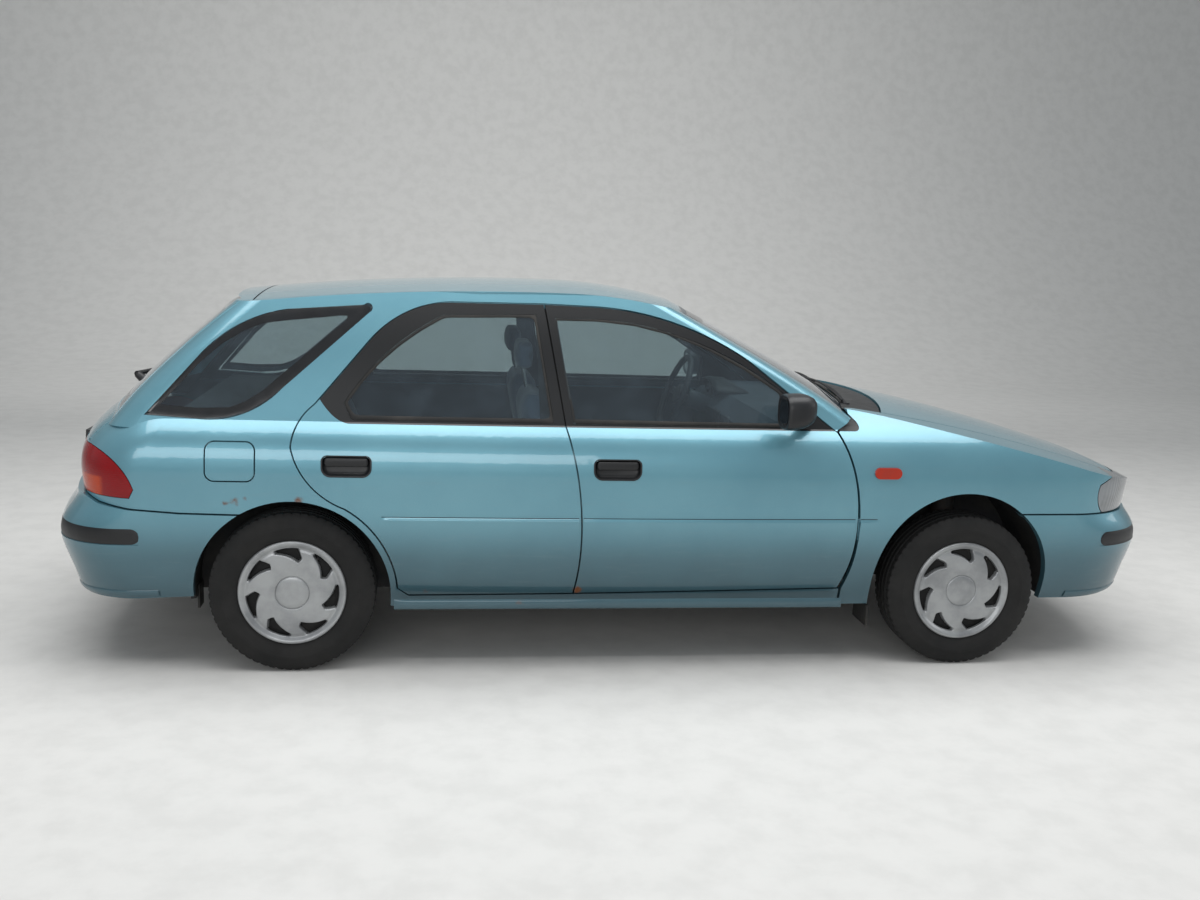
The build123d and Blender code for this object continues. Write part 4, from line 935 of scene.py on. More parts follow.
@dataclass
class Fittings(Maker):
    """Small outside pieces laid on the body: creases, window edges, handles, mirrors, lamps and wipers.

    Args:
        mirror_sections: x before scaling, half width, half height and middle height of a mirror's sections.
        half_width: y of the body side where a sheet's first ray meets nothing.
        far: Distance at which the level rays round a bumper start.
        skins: Skins that are already built, by the names of their nodes.
    """

    mirror_sections: tuple[tuple[float, ...], ...] = (
        (0.506, 0.062, 0.050, 0.990), (0.503, 0.066, 0.054, 0.990), (0.502, 0.071, 0.058, 0.990),
        (0.505, 0.0745, 0.0615, 0.990), (0.520, 0.0765, 0.064, 0.991), (0.550, 0.0765, 0.064, 0.993),
        (0.580, 0.074, 0.061, 0.996), (0.605, 0.067, 0.054, 0.999), (0.622, 0.057, 0.045, 1.001),
        (0.633, 0.042, 0.033, 1.002), (0.639, 0.020, 0.015, 1.002),
    )
    half_width: float = 0.82
    far: float = 2.5
    skins: dict[str, Skin] = field(default_factory=dict)

    def skin(self, *nodes: str) -> Skin:
        """The skin of some nodes, built once.

        Args:
            nodes: Names of the nodes or pieces.

        Returns:
            The skin.
        """
        key = "+".join(nodes)
        if key not in self.skins:
            self.skins[key] = Skin(*nodes)
        return self.skins[key]

    def side_sheet(
        self, name: str, nodes: Sequence[str], side: Side, xs: np.ndarray, zs: np.ndarray,
        rise: Callable[[np.ndarray, np.ndarray], np.ndarray], material: str,
    ) -> Piece:
        """A sheet that lies on the side skin over a grid of x and z, standing proud by rise(x, z).

        Args:
            name: Name of the piece.
            nodes: CAD nodes that it lies on.
            side: Side of the car.
            xs: Grid of x, rows by columns.
            zs: Grid of z, rows by columns.
            rise: Height above the skin in metres.
            material: Palette key.

        Returns:
            The sheet, riding on the first node's body.
        """
        skin = self.skin(*nodes)
        points = np.zeros(xs.shape + (3,))
        for i, j in np.ndindex(xs.shape):
            y = skin.side(xs[i, j], zs[i, j], side)
            near = points[i, j - 1, 1] if j else (points[i - 1, j, 1] if i else side.value * self.half_width)
            y = near if y is None or abs(y) < abs(near) - 0.02 and near else y
            points[i, j] = xs[i, j], y, zs[i, j]
        points[..., 1] += side.value * rise(xs, zs)
        obj = self.mesh(name, points, grid_faces(*xs.shape), material, 30)
        self.face_out(obj, View[side.name])
        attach(obj, body_of(nodes[0]))
        return obj

    def face_out(self, obj: Piece, view: View) -> None:
        """Turns an open sheet's faces so that they look out to the side that it is seen from.

        Args:
            obj: The sheet.
            view: The side that it is seen from.
        """
        axis, sign = view.value
        if sum(q.normal[axis] * q.area for q in obj.data.polygons) * sign < 0:
            obj.data.flip_normals()

    def crease(self, side: Side) -> None:
        """The pressed line along doors and wing: a ledge 4 mm deep at z = 0.577 that fades 70 mm below it,
        with a thin black strip of painted shadow along its top.

        Args:
            side: Side of the car.
        """
        rows = np.array([
            0.4985, 0.515, 0.53, 0.545, 0.556, 0.564, 0.5690, 0.5715, 0.5740, 0.5800, 0.5835, 0.5860,
        ])
        level = np.array([0.25, 0.6, 1.3, 2.2, 3.2, 4.2, 4.8, 4.8, 4.2, 0.6, 0.3, 0.3]) * MM
        word, back, front = side.word, -0.955, 0.915
        spans = (
            (f"door_rear_{word}", back, -0.2385), (f"door_front_{word}", -0.2235, 0.8035),
            (f"wing_{word}", 0.8195, front),
        )
        for node, x0, x1 in spans:
            xs, zs = np.meshgrid(np.linspace(x0, x1, 64), rows)

            def rise(x: np.ndarray, z: np.ndarray) -> np.ndarray:
                """Height of the ledge, faded over its ends."""
                tail = np.clip((x - back) / 0.03, 0, 1) * np.clip((front - x) / 0.09, 0, 1)
                return 0.00025 + (np.interp(z, rows, level) - 0.00025) * tail * tail * (3 - 2 * tail)

            self.side_sheet(f"crease_{node}", [node], side, xs, zs, rise, "paint")
            # A black strip 2.5 mm tall just above the ledge: a painted shadow line.
            xs, zs = np.meshgrid(np.linspace(max(x0, -0.945), min(x1, 0.89), 48), [0.5810, 0.5835])
            self.side_sheet(f"crease_shade_{node}", [node], side, xs, zs, lambda x, z: 0 * x + 0.0006, "shade")

    def sill(self, side: Side) -> None:
        """The rolled sill below the doors, 7 mm proud with rounded ends.

        Args:
            side: Side of the car.
        """
        back, front, middle, half = -0.900, 0.775, 0.257, 0.0185
        xs, zs = np.meshgrid(np.linspace(back, front, 90), np.linspace(0.2375, 0.2745, 12))

        def rise(x: np.ndarray, z: np.ndarray) -> np.ndarray:
            """A round roll across z that closes at both ends."""
            across = np.clip(1 - ((z - middle) / half) ** 2, 0, 1) ** 0.5
            ends = np.clip(np.minimum(x - back, front - x) / 0.02, 0, 1) ** 0.5
            return 0.0003 + 0.007 * across * ends

        self.side_sheet(f"sill_{side.word}", [f"side_frame_{side.word}"], side, xs, zs, rise, "paint")

    def band(
        self, name: str, node: str, view: View, outer: Outline, inner: Outline, lifts: Sequence[float],
        material: str, count: int = 220,
    ) -> None:
        """A closed band between two outlines that lies on what is seen from one side.

        Args:
            name: Name of the piece.
            node: CAD node that it lies on and rides with.
            view: The side it is laid on from.
            outer: Outer outline.
            inner: Inner outline, started at the same corner.
            lifts: Height above the skin in millimetres, from the outer edge to the inner one.
            material: Palette key.
            count: Points along the band.
        """
        skin = self.skin(node)
        steps = np.linspace(0, 1, len(lifts))[:, None, None]
        grid = resample(outer, count)[None] * (1 - steps) + resample(inner, count)[None] * steps
        points = np.full(grid.shape[:2] + (3,), np.nan)
        for i, j in np.ndindex(grid.shape[:2]):
            hit = skin.seen(view, *grid[i, j])
            if hit:
                points[i, j] = hit[0] + hit[1] * lifts[i] * MM
        for i, j in np.ndindex(grid.shape[:2]):
            if np.isnan(points[i, j, 0]):
                known = np.where(~np.isnan(points[i, :, 0]))[0]
                points[i, j] = points[i, known[np.abs(known - j).argmin()]]
        obj = self.mesh(name, points, grid_faces(*grid.shape[:2], wrap_columns=True), material)
        self.face_out(obj, view)
        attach(obj, body_of(node))

    def window_edge(self, side: Side) -> None:
        """The black band round the rear quarter window and the rubber seals of the two door windows.

        Args:
            side: Side of the car.
        """
        word = side.word
        view = View[side.name]
        outer = [
            (-1.770, 0.923), (-1.600, 1.118), (-1.530, 1.184), (-1.455, 1.238), (-1.375, 1.276),
            (-1.290, 1.294), (-1.020, 1.316), (-0.996, 1.309), (-1.002, 1.292), (-1.300, 1.022),
            (-1.345, 0.984), (-1.420, 0.938), (-1.495, 0.918), (-1.580, 0.912),
        ]
        inner = [
            (-1.717, 0.956), (-1.590, 1.100), (-1.515, 1.168), (-1.443, 1.214), (-1.374, 1.243),
            (-1.295, 1.2545), (-1.100, 1.277), (-1.078, 1.277), (-1.082, 1.262), (-1.306, 1.066),
            (-1.366, 1.012), (-1.428, 0.972), (-1.480, 0.952), (-1.590, 0.948),
        ]
        lifts = (0.4, 0.9, 0.8, 0.6, 0.4)
        self.band(f"window_edge_{word}", "quarter_windows", view, outer, inner, lifts, "gloss_black")
        front = [
            (-0.2625, 0.9165), (-0.3258, 1.2895), *arc((-0.170, 1.2895), (0.180, 1.2235), (0.5275, 1.040)),
            (0.5275, 0.9165),
        ]
        front_in = soften([
            (-0.272, 0.9335), (-0.3325, 1.2805), *arc((-0.170, 1.2805), (0.176, 1.2150), (0.5150, 1.034), 6),
            (0.5150, 0.9290),
        ], 0.012)
        rear = [
            (-0.3325, 0.9165), (-1.0555, 0.9165), (-1.0835, 0.975),
            *arc((-1.0835, 0.975), (-0.9355, 1.1515), (-0.735, 1.2895)), (-0.3965, 1.2995),
        ]
        rear_in = soften([
            (-0.345, 0.9330), (-1.0480, 0.9335), (-1.0700, 0.976),
            *arc((-1.068, 0.980), (-0.9240, 1.1480), (-0.731, 1.2795), 6), (-0.4050, 1.2885),
        ], 0.020)
        lifts = (0.3, 1.9, 2.1, 1.7, 0.3)
        for place, edge, gap in ((f"front_{word}", front, front_in), (f"rear_{word}", rear, rear_in)):
            self.band(f"window_seal_{place}", f"window_{place}", view, edge, gap, lifts, "rubber")

    def screen_head(self, glass: str, panel: str, view: View, half: float, head: float, rise: float) -> None:
        """The black enamelled head of a bonded glass, from the clear pane up to the panel above it.

        Args:
            glass: Node of the glass, which the piece rides with.
            panel: Node of the panel above.
            view: The end it is seen from.
            half: Half width at the head.
            head: Height of the opening's head at its ends.
            rise: How much higher the head is in the middle.
        """
        pane, frame_skin = self.skin(glass), self.skin(panel)
        loops = []
        for y in np.linspace(-half, half, 61):
            top = head + rise * (1 - (y / half) ** 2)
            steps = (pane.seen(view, y, z) for z in np.arange(top, top - 0.09, -0.001))
            foot = next((hit for hit in steps if hit), None)
            edge = frame_skin.seen(view, y, top + 0.006)
            if foot is None or edge is None:
                continue
            out = foot[1]
            start, end = foot[0] + Vector((0, 0, -0.010)), edge[0] - edge[1] * 4 * MM
            low = pane.seen(view, y, start.z)
            if low:
                start = low[0] + out * 0.5 * MM
            front = [start.lerp(end, t) + out * (t * (1 - t) * 5 * MM) for t in np.linspace(0, 1, 7)]
            loops.append(front + [q - out * 3 * MM for q in front[::-1]])
        obj = self.loft(f"{glass}_head", loops, "gloss_black")
        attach(obj, body_of(glass))
        self.skins[glass] = Skin(glass, obj.name)

    def pillar_foot(self, side: Side) -> None:
        """The black filler between the windscreen pillar's foot, the wing and the door's mirror corner.

        Args:
            side: Side of the car.
        """
        rows = (
            (0.904, 0.7425, 0.7665, 0.8190, 0.7670), (0.915, 0.7425, 0.7592, 0.8260, 0.7531),
            (0.925, 0.7560, 0.7554, 0.8290, 0.7379), (0.935, 0.7710, 0.7484, 0.8240, 0.7209),
            (0.945, 0.7930, 0.7166, 0.8190, 0.7028), (0.953, 0.7930, 0.6890, 0.8100, 0.6880),
        )
        loops = []
        for z, x0, y0, x1, y1 in rows:
            share = np.linspace(0, 1, 6)
            front = [(x0 + (x1 - x0) * t, side.value * (y0 + (y1 - y0) * t - 0.0035), z) for t in share]
            loops.append(front + [(a, side.value * (abs(b) - 0.004), c) for a, b, c in front[::-1]])
        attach(self.loft(f"pillar_foot_{side.word}", loops, "black_trim"), "body")

    def wheelhouse(self, side: Side) -> None:
        """The sealed flange between the rear wheelhouse and the side panel, following the arch.

        Args:
            side: Side of the car.
        """
        sign, x, z = side.value, -AXLE_X, 0.288
        panel = self.skin(f"side_frame_{side.word}", "rear_bumper")
        loops = []
        for a in np.radians(np.linspace(-6, 186, 65)):
            wall = 0.0
            for r in (0.364, 0.370):
                start = Vector((x + r * math.cos(a), 0.62 * sign, z + r * math.sin(a)))
                hit = panel.tree.ray_cast(start, Vector((0, sign, 0)))[0]
                wall = max(wall, abs(hit.y) + 0.003 if hit else 0.0)
            wall = wall or 0.72
            ring = ((0.3505, 0.670), (0.3505, wall), (0.3685, wall), (0.3685, 0.670))
            loops.append([(x + r * math.cos(a), sign * y, z + r * math.sin(a)) for r, y in ring])
        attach(self.loft(f"wheelhouse_flange_{side.word}", loops, "underbody"), "body")

    def intake(self) -> None:
        """The slats of the air intake in the front bumper, and a black sheet behind them that is painted
        shade.
        """
        skin = self.skin("front_bumper")
        ys = np.linspace(-0.424, 0.424, 45)
        wall = [skin.seen(View.FRONT, y, 0.415)[0].x for y in ys]

        def bar(name: str, depth: tuple[float, float], low: float, high: float, look: str) -> None:
            """A bar that follows the bumper's wall between two depths behind it and two heights.

            Args:
                name: Name of the piece.
                depth: Depths of its front and back.
                low: Lower height.
                high: Upper height.
                look: Palette key.
            """
            a, b = depth
            ring = ((a, low), (a, high), (b, high), (b, low))
            loops = [[(x - back, y, z) for back, z in ring] for x, y in zip(wall, ys)]
            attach(self.loft(name, loops, look), body_of("front_bumper"))

        for i, z in enumerate((0.325, 0.350, 0.375)):
            bar(f"intake_slat_{i}", (0.014, 0.034), z - 0.0035, z + 0.0035, "black_trim")
        # Painted shade: a black dull sheet behind the slats stands for the dark inside the intake.
        bar("intake_backing", (0.062, 0.066), 0.285, 0.415, "shade")

    def screens(self) -> None:
        """The bonded black edges of the windscreen and of the tailgate glass, and the screen seal, painted
        pale grey as a highlight of the glass edge.
        """
        self.screen_head("windscreen", "roof_panel", View.FRONT, 0.524, 1.323, 0.008)
        self.screen_head("tailgate_glass", "tailgate", View.REAR, 0.486, 1.322, 0.012)

        def frame_of(
            g: float, top_y: float, foot_y: float, foot_z: float, top_z: float, rise: float,
        ) -> Outline:
            """The outline of a glass in y and z drawn in by g, with a head that rises in the middle."""
            head = (top_y - g, top_z - g), (0, top_z + rise - g), (-top_y + g, top_z - g)
            return [head[2], (-foot_y + g, foot_z + g), (foot_y - g, foot_z + g), head[0]] + arc(*head)[1:-1]

        screen = "windscreen", View.FRONT, (0.526, 0.694, 0.912, 1.3165, 0.008)
        tail = "tailgate_glass", View.REAR, (0.488, 0.600, 0.9225, 1.3175, 0.011)
        rows = (
            ("windscreen_edge", screen, 0.030, (0.2, 0.4, 0.4, 0.2), "gloss_black"),
            # The seal is a raised rubber band whose pale grey is a painted highlight of the glass edge.
            ("windscreen_seal", screen, 0.009, (0.3, 1.9, 2.3, 1.6, 0.5), "seal_grey"),
            ("tailgate_glass_edge", tail, 0.038, (0.2, 0.5, 0.5, 0.2), "gloss_black"),
        )
        for name, (node, view, glass), width, lifts, look in rows:
            inner = frame_of(width, *glass)
            inner = inner if look == "seal_grey" else soften(inner, 0.03)
            self.band(name, node, view, frame_of(0.0, *glass), inner, lifts, look, 260)

    def handle(self, side: Side, place: str, x: float) -> None:
        """A pull handle: a rounded cup with squarer top corners and a paddle across its upper half.

        Args:
            side: Side of the car.
            place: front or rear.
            x: The handle's middle along the car.
        """
        word = side.word
        node = f"door_{place}_{word}"
        skin = self.skin(node)

        def outline(draw_in: float, count: int = 96) -> np.ndarray:
            """Points clockwise round the cup, drawn in by an amount.

            Args:
                draw_in: How far it is drawn in.
                count: Number of points.

            Returns:
                Rows of x and z.
            """
            w, h, mid_z = 0.0885 - draw_in, 0.039 - draw_in, 0.7625
            points = []
            corners = (1, 1, 90, 0.022), (1, -1, 0, 0.034), (-1, -1, -90, 0.034), (-1, 1, -180, 0.022)
            for cx, cz, start, r in corners:
                r = max(r - draw_in, 0.004)
                for k in range(count // 4):
                    b = math.radians(start - 90 * k / (count // 4 - 1))
                    points.append((x + cx * (w - r) + r * math.cos(b), mid_z + cz * (h - r) + r * math.sin(b)))
            return np.array(points)

        base = np.array([skin.side(px, pz, side) or side.value * 0.83 for px, pz in outline(-0.004)])
        draws = (0.0, 0.0006, 0.003, 0.0055, 0.007, 0.0095, 0.014, 0.020)
        lifts = np.array([0.2, 1.6, 2.2, 1.4, -1.5, -10, -15, -16.5]) * MM
        rings = [np.insert(outline(d), 1, base + side.value * lift, axis=1) for d, lift in zip(draws, lifts)]
        rows, count = len(rings), len(base)
        faces = grid_faces(rows, count, wrap_columns=True) + [tuple(range((rows - 1) * count, rows * count))]
        cup = self.mesh(f"handle_cup_{place}_{word}", rings, faces, "black_trim", 35)
        self.face_out(cup, View[side.name])
        uu, vv = np.meshgrid(np.linspace(-0.0775, 0.0775, 40), turn(20), indexing="ij")
        slim = np.clip((0.0775 - np.abs(uu)) / 0.008, 0, 1) ** 0.5
        pz = 0.7765 + 0.0145 * slim * rounded(np.sin(vv), 0.7)
        py = float(np.median(base)) + side.value * (-0.0045 + 0.0055 * slim * rounded(np.cos(vv), 0.7))
        points = np.stack([x + uu, py, pz], -1)
        paddle = self.mesh(f"handle_paddle_{place}_{word}", points, capped(40, 20), "black_trim", 35)
        for piece in (cup, paddle):
            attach(piece, body_of(node))
        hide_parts(f"fittings_{place}_{word}")

    def mirror(self, side: Side) -> None:
        """The door mirror: superellipse sections along x, flat at the glass and rounded forwards.

        Args:
            side: Side of the car.
        """
        word = side.word
        xs, half_y, half_z, mid_z = np.array(self.mirror_sections).T
        xs = 0.486 + (xs - 0.502) * 0.86
        around = turn(56)
        wide, high = rounded(np.cos(around), 0.62), rounded(np.sin(around), 0.62)
        mid_y = side.value * 0.880
        points = np.stack([
            np.repeat(xs[:, None], len(around), 1), mid_y + side.value * half_y[:, None] * wide,
            mid_z[:, None] + half_z[:, None] * high,
        ], -1)
        faces = capped(len(xs), len(around))
        shell = self.mesh(f"mirror_shell_{word}", points, faces, "black_trim", 50)
        centre = np.array([xs[0], mid_y, mid_z[0]])
        pane = centre + (points[0] - centre) * 0.90 - (0.0006, 0, 0)
        face = [tuple(range(len(around) - 1, -1, -1))]
        glass = self.mesh(f"mirror_glass_{word}", pane, face, "mirror")
        t, b = np.linspace(0, 1, 12)[:, None], turn(24)[None]
        arm_points = np.stack([
            0.625 - 0.035 * t + (0.034 - 0.006 * t) * np.cos(b), side.value * (0.735 + 0.09 * t + 0 * b),
            0.950 + 0.012 * t + (0.020 + 0.004 * t) * np.sin(b),
        ], -1)
        arm = self.mesh(f"mirror_arm_{word}", arm_points, capped(12, 24), "black_trim")
        for piece in (shell, glass, arm):
            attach(piece, body_of(f"door_front_{word}"))

    def inward(
        self, node: str, middle: tuple[float, float], angle: float, z: float,
    ) -> tuple[Vector, Vector] | None:
        """Where a level ray from far out meets a bumper on its way to a middle point."""
        far = (middle[0] + self.far * math.cos(angle), middle[1] + self.far * math.sin(angle), z)
        return self.skin(node).towards(far, (*middle, z))

    def girdle(
        self, name: str, node: str, middle: tuple[float, float], angles: np.ndarray, heights: np.ndarray,
        halves: np.ndarray, lift: float, material: str,
    ) -> None:
        """A rounded strip that follows a bumper round a middle point.

        Args:
            name: Name of the piece.
            node: The bumper.
            middle: x and y of the point that it runs round.
            angles: Angles along it, in radians.
            heights: Its middle height at each angle.
            halves: Half its height at each angle.
            lift: Height above the bumper along its middle.
            material: Palette key.
        """
        across = np.linspace(-1, 1, 9)
        points = np.zeros((len(across), len(angles), 3))
        for j, b in enumerate(angles):
            for i, v in enumerate(across):
                hit = self.inward(node, middle, b, heights[j] + v * halves[j])
                if hit is None:
                    points[i, j] = points[i - 1, j] if i else points[i, j - 1]
                    continue
                points[i, j] = hit[0] + hit[1] * (0.0005 + lift * (1 - abs(v) ** 4))
        obj = self.mesh(name, points, grid_faces(*points.shape[:2]), material, 50)
        centre = Vector((*middle, 0.5))
        if sum((q.center - centre).dot(q.normal) for q in obj.data.polygons) < 0:
            obj.data.flip_normals()
        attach(obj, "body")

    def bumper_strips(self) -> None:
        """The black rubbing strips with round ends, and the rolled lower lip of each bumper."""
        spans = (
            ("rear_bumper", (-1.40, 0.0), [(115.3, 244.7)], [(113.0, 247.0)]),
            ("front_bumper", (1.30, 0.0), [(-57.0, -19.6), (19.6, 57.0)], [(-62.0, 62.0)]),
        )
        for node, middle, strips, lips in spans:
            for n, (start, end) in enumerate(strips):
                ends = np.array([0, 0.25, 0.6, 1.0, 1.6])
                spread = np.r_[start + ends, np.linspace(start + 2.4, end - 2.4, 70), end - ends[::-1]]
                tip = np.clip(np.minimum(spread - start, end - spread) / 1.9, 0, 1)
                halves = np.maximum(0.0285 * (1 - (1 - tip) ** 2) ** 0.5, 0.003)
                self.girdle(
                    f"rubbing_strip_{node}_{n}", node, middle, np.radians(spread), 0.4995 + 0 * spread, halves,
                    0.0020, "black_trim",
                )
            for n, (start, end) in enumerate(lips):
                angles = np.radians(np.linspace(start, end, 90))
                feet = []
                for b in angles:
                    foot = 0.36
                    for z in np.arange(0.225, foot, 0.004):
                        hit = self.inward(node, middle, b, z)
                        if hit and math.hypot(hit[0].x - middle[0], hit[0].y - middle[1]) > 0.3:
                            foot = z
                            break
                    feet.append(foot)
                level = np.convolve(np.pad(feet, 2, mode="edge"), np.ones(5) / 5, "valid") + 0.017
                self.girdle(
                    f"bumper_lip_{node}_{n}", node, middle, angles, level, 0.013 + 0 * angles, 0.0042, "paint",
                )

    def plates(self) -> None:
        """Blank number plates with two screws each: on the front bumper, and on a plinth on the tailgate."""
        half, low, high = 0.258, 0.668, 0.782
        front = self.box("plate_front", (2.1585, -half, 0.432), (2.1610, half, 0.540), 0.0012, "plate")
        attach(front, "body")
        skin = self.skin("tailgate")
        foot, top = (min(skin.seen(View.REAR, y, z)[0].x for y in (0.0, 0.26)) for z in (low, high))
        rear = []
        for name, x0, x1, margin, radius, look in (
            ("plate_plinth", -0.0085, 0.010, 0.008, 0.003, "black_trim"),
            ("plate_rear", -0.0115, -0.009, 0.0, 0.001, "plate"),
        ):
            corners = (x0, -half - margin, low - margin), (x1, half + margin, high + margin)
            rear.append(self.box(name, *corners, radius, look))
            for v in rear[-1].data.vertices:
                v.co.x += foot + (v.co.z - low) / (high - low) * (top - foot)
        middle = (foot + top) / 2
        for n, y in enumerate((-0.215, 0.215)):
            line = [(middle - 0.010, y, 0.725), (middle - 0.0130, y, 0.725)]
            rear.append(self.bar(f"plate_screw_rear_{n}", line, 0.0055, "plate", 16))
            line = [(2.1600, y, 0.486), (2.1622, y, 0.486)]
            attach(self.bar(f"plate_screw_front_{n}", line, 0.0055, "plate", 16), "body")
        for piece in rear:
            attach(piece, body_of("tailgate"))

    def wiper(self, name: str, body: str, rubber: Outline, blade: Outline, arm: tuple, pivot: tuple) -> None:
        """One wiper of four bars.

        Args:
            name: Name of the pieces, with a gap for the part.
            body: Body that it rides on.
            rubber: Line of the rubber.
            blade: Line of the blade above it.
            arm: Line, radii and number of sides of the arm.
            pivot: The same of the pivot.
        """
        trim = "black_trim"
        parts = (
            ("rubber", rubber, 0.0035, 8, "rubber"), ("blade", blade, 0.0045, 8, trim), ("arm", *arm, trim),
            ("pivot", *pivot, trim),
        )
        for part, line, radius, sides, look in parts:
            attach(self.bar(name.format(part), line, radius, look, sides), body)

    def rear_wiper(self) -> None:
        """The tailgate wiper, parked along the foot of the glass, and the latch clip beside it."""
        skin = self.skin("tailgate_glass", "tailgate")

        def on_tail(y: float, z: float, lift: float) -> np.ndarray:
            """A point of the tailgate raised along its normal."""
            hit = skin.seen(View.REAR, y, z)
            return np.array(hit[0] + hit[1] * lift)

        pivot, root = (on_tail(0.0, 0.952, lift) for lift in (0.0, 0.040))
        ys = np.linspace(0.05, 0.42, 10)
        blade, spine = ([on_tail(y, 0.968, lift) for y in ys] for lift in (0.0065, 0.016))
        arm = np.linspace(root, spine[5], 8), np.linspace(0.012, 0.005, 8), 12
        shaft = [pivot, root], [0.020, 0.014], 20
        self.wiper("rear_wiper_{}", body_of("tailgate"), blade, spine, arm, shaft)

    def wipers(self) -> None:
        """Two parked windscreen wipers: arms from the cowl to blades that lie along the foot of the screen."""
        skin = self.skin("windscreen")

        def on_screen(x: float, y: float, lift: float) -> np.ndarray:
            """A point of the screen below x and y, raised along its normal."""
            hit = skin.towards((x + 0.6, y, 1.9), (x - 0.02, y, 1.05))
            return np.array(hit[0] + hit[1] * lift) if hit else np.array((x, y, 0.98))

        bow = np.sin(np.linspace(0, np.pi, 14))
        rise = np.linspace(0, 1, 9)[:, None]
        for n, (pivot_y, far_y) in enumerate(((-0.50, 0.06), (0.02, 0.56))):
            root = on_screen(0.93, pivot_y, 0.012)
            line = list(zip(bow, np.linspace(pivot_y + 0.03, far_y, 14)))
            blade = [on_screen(0.915 - 0.02 * b, y, 0.0065) for b, y in line]
            spine = [on_screen(0.915 - 0.02 * b, y, 0.015 + 0.004 * b) for b, y in line]
            arm = root * (1 - rise) + spine[7] * rise + np.array([0, 0, 0.012]) * np.sin(np.pi * rise)
            shaft = [root + (0.004, 0, -0.022), root + (0, 0, 0.007)]
            arm = arm, np.linspace(0.0085, 0.0048, 9), 10
            self.wiper(f"wiper_{{}}_{n}", "body", blade, spine, arm, (shaft, 0.0135, 18))

    def build(self) -> None:
        """Makes every fitting on both sides."""
        for side in Side:
            self.crease(side)
            self.sill(side)
            self.window_edge(side)
            self.handle(side, "front", -0.103)
            self.handle(side, "rear", -1.068)
            self.mirror(side)
        self.bumper_strips()
        self.screens()
        self.intake()
        for side in Side:
            self.pillar_foot(side)
            self.wheelhouse(side)
        self.plates()
        self.rear_wiper()
        self.wipers()


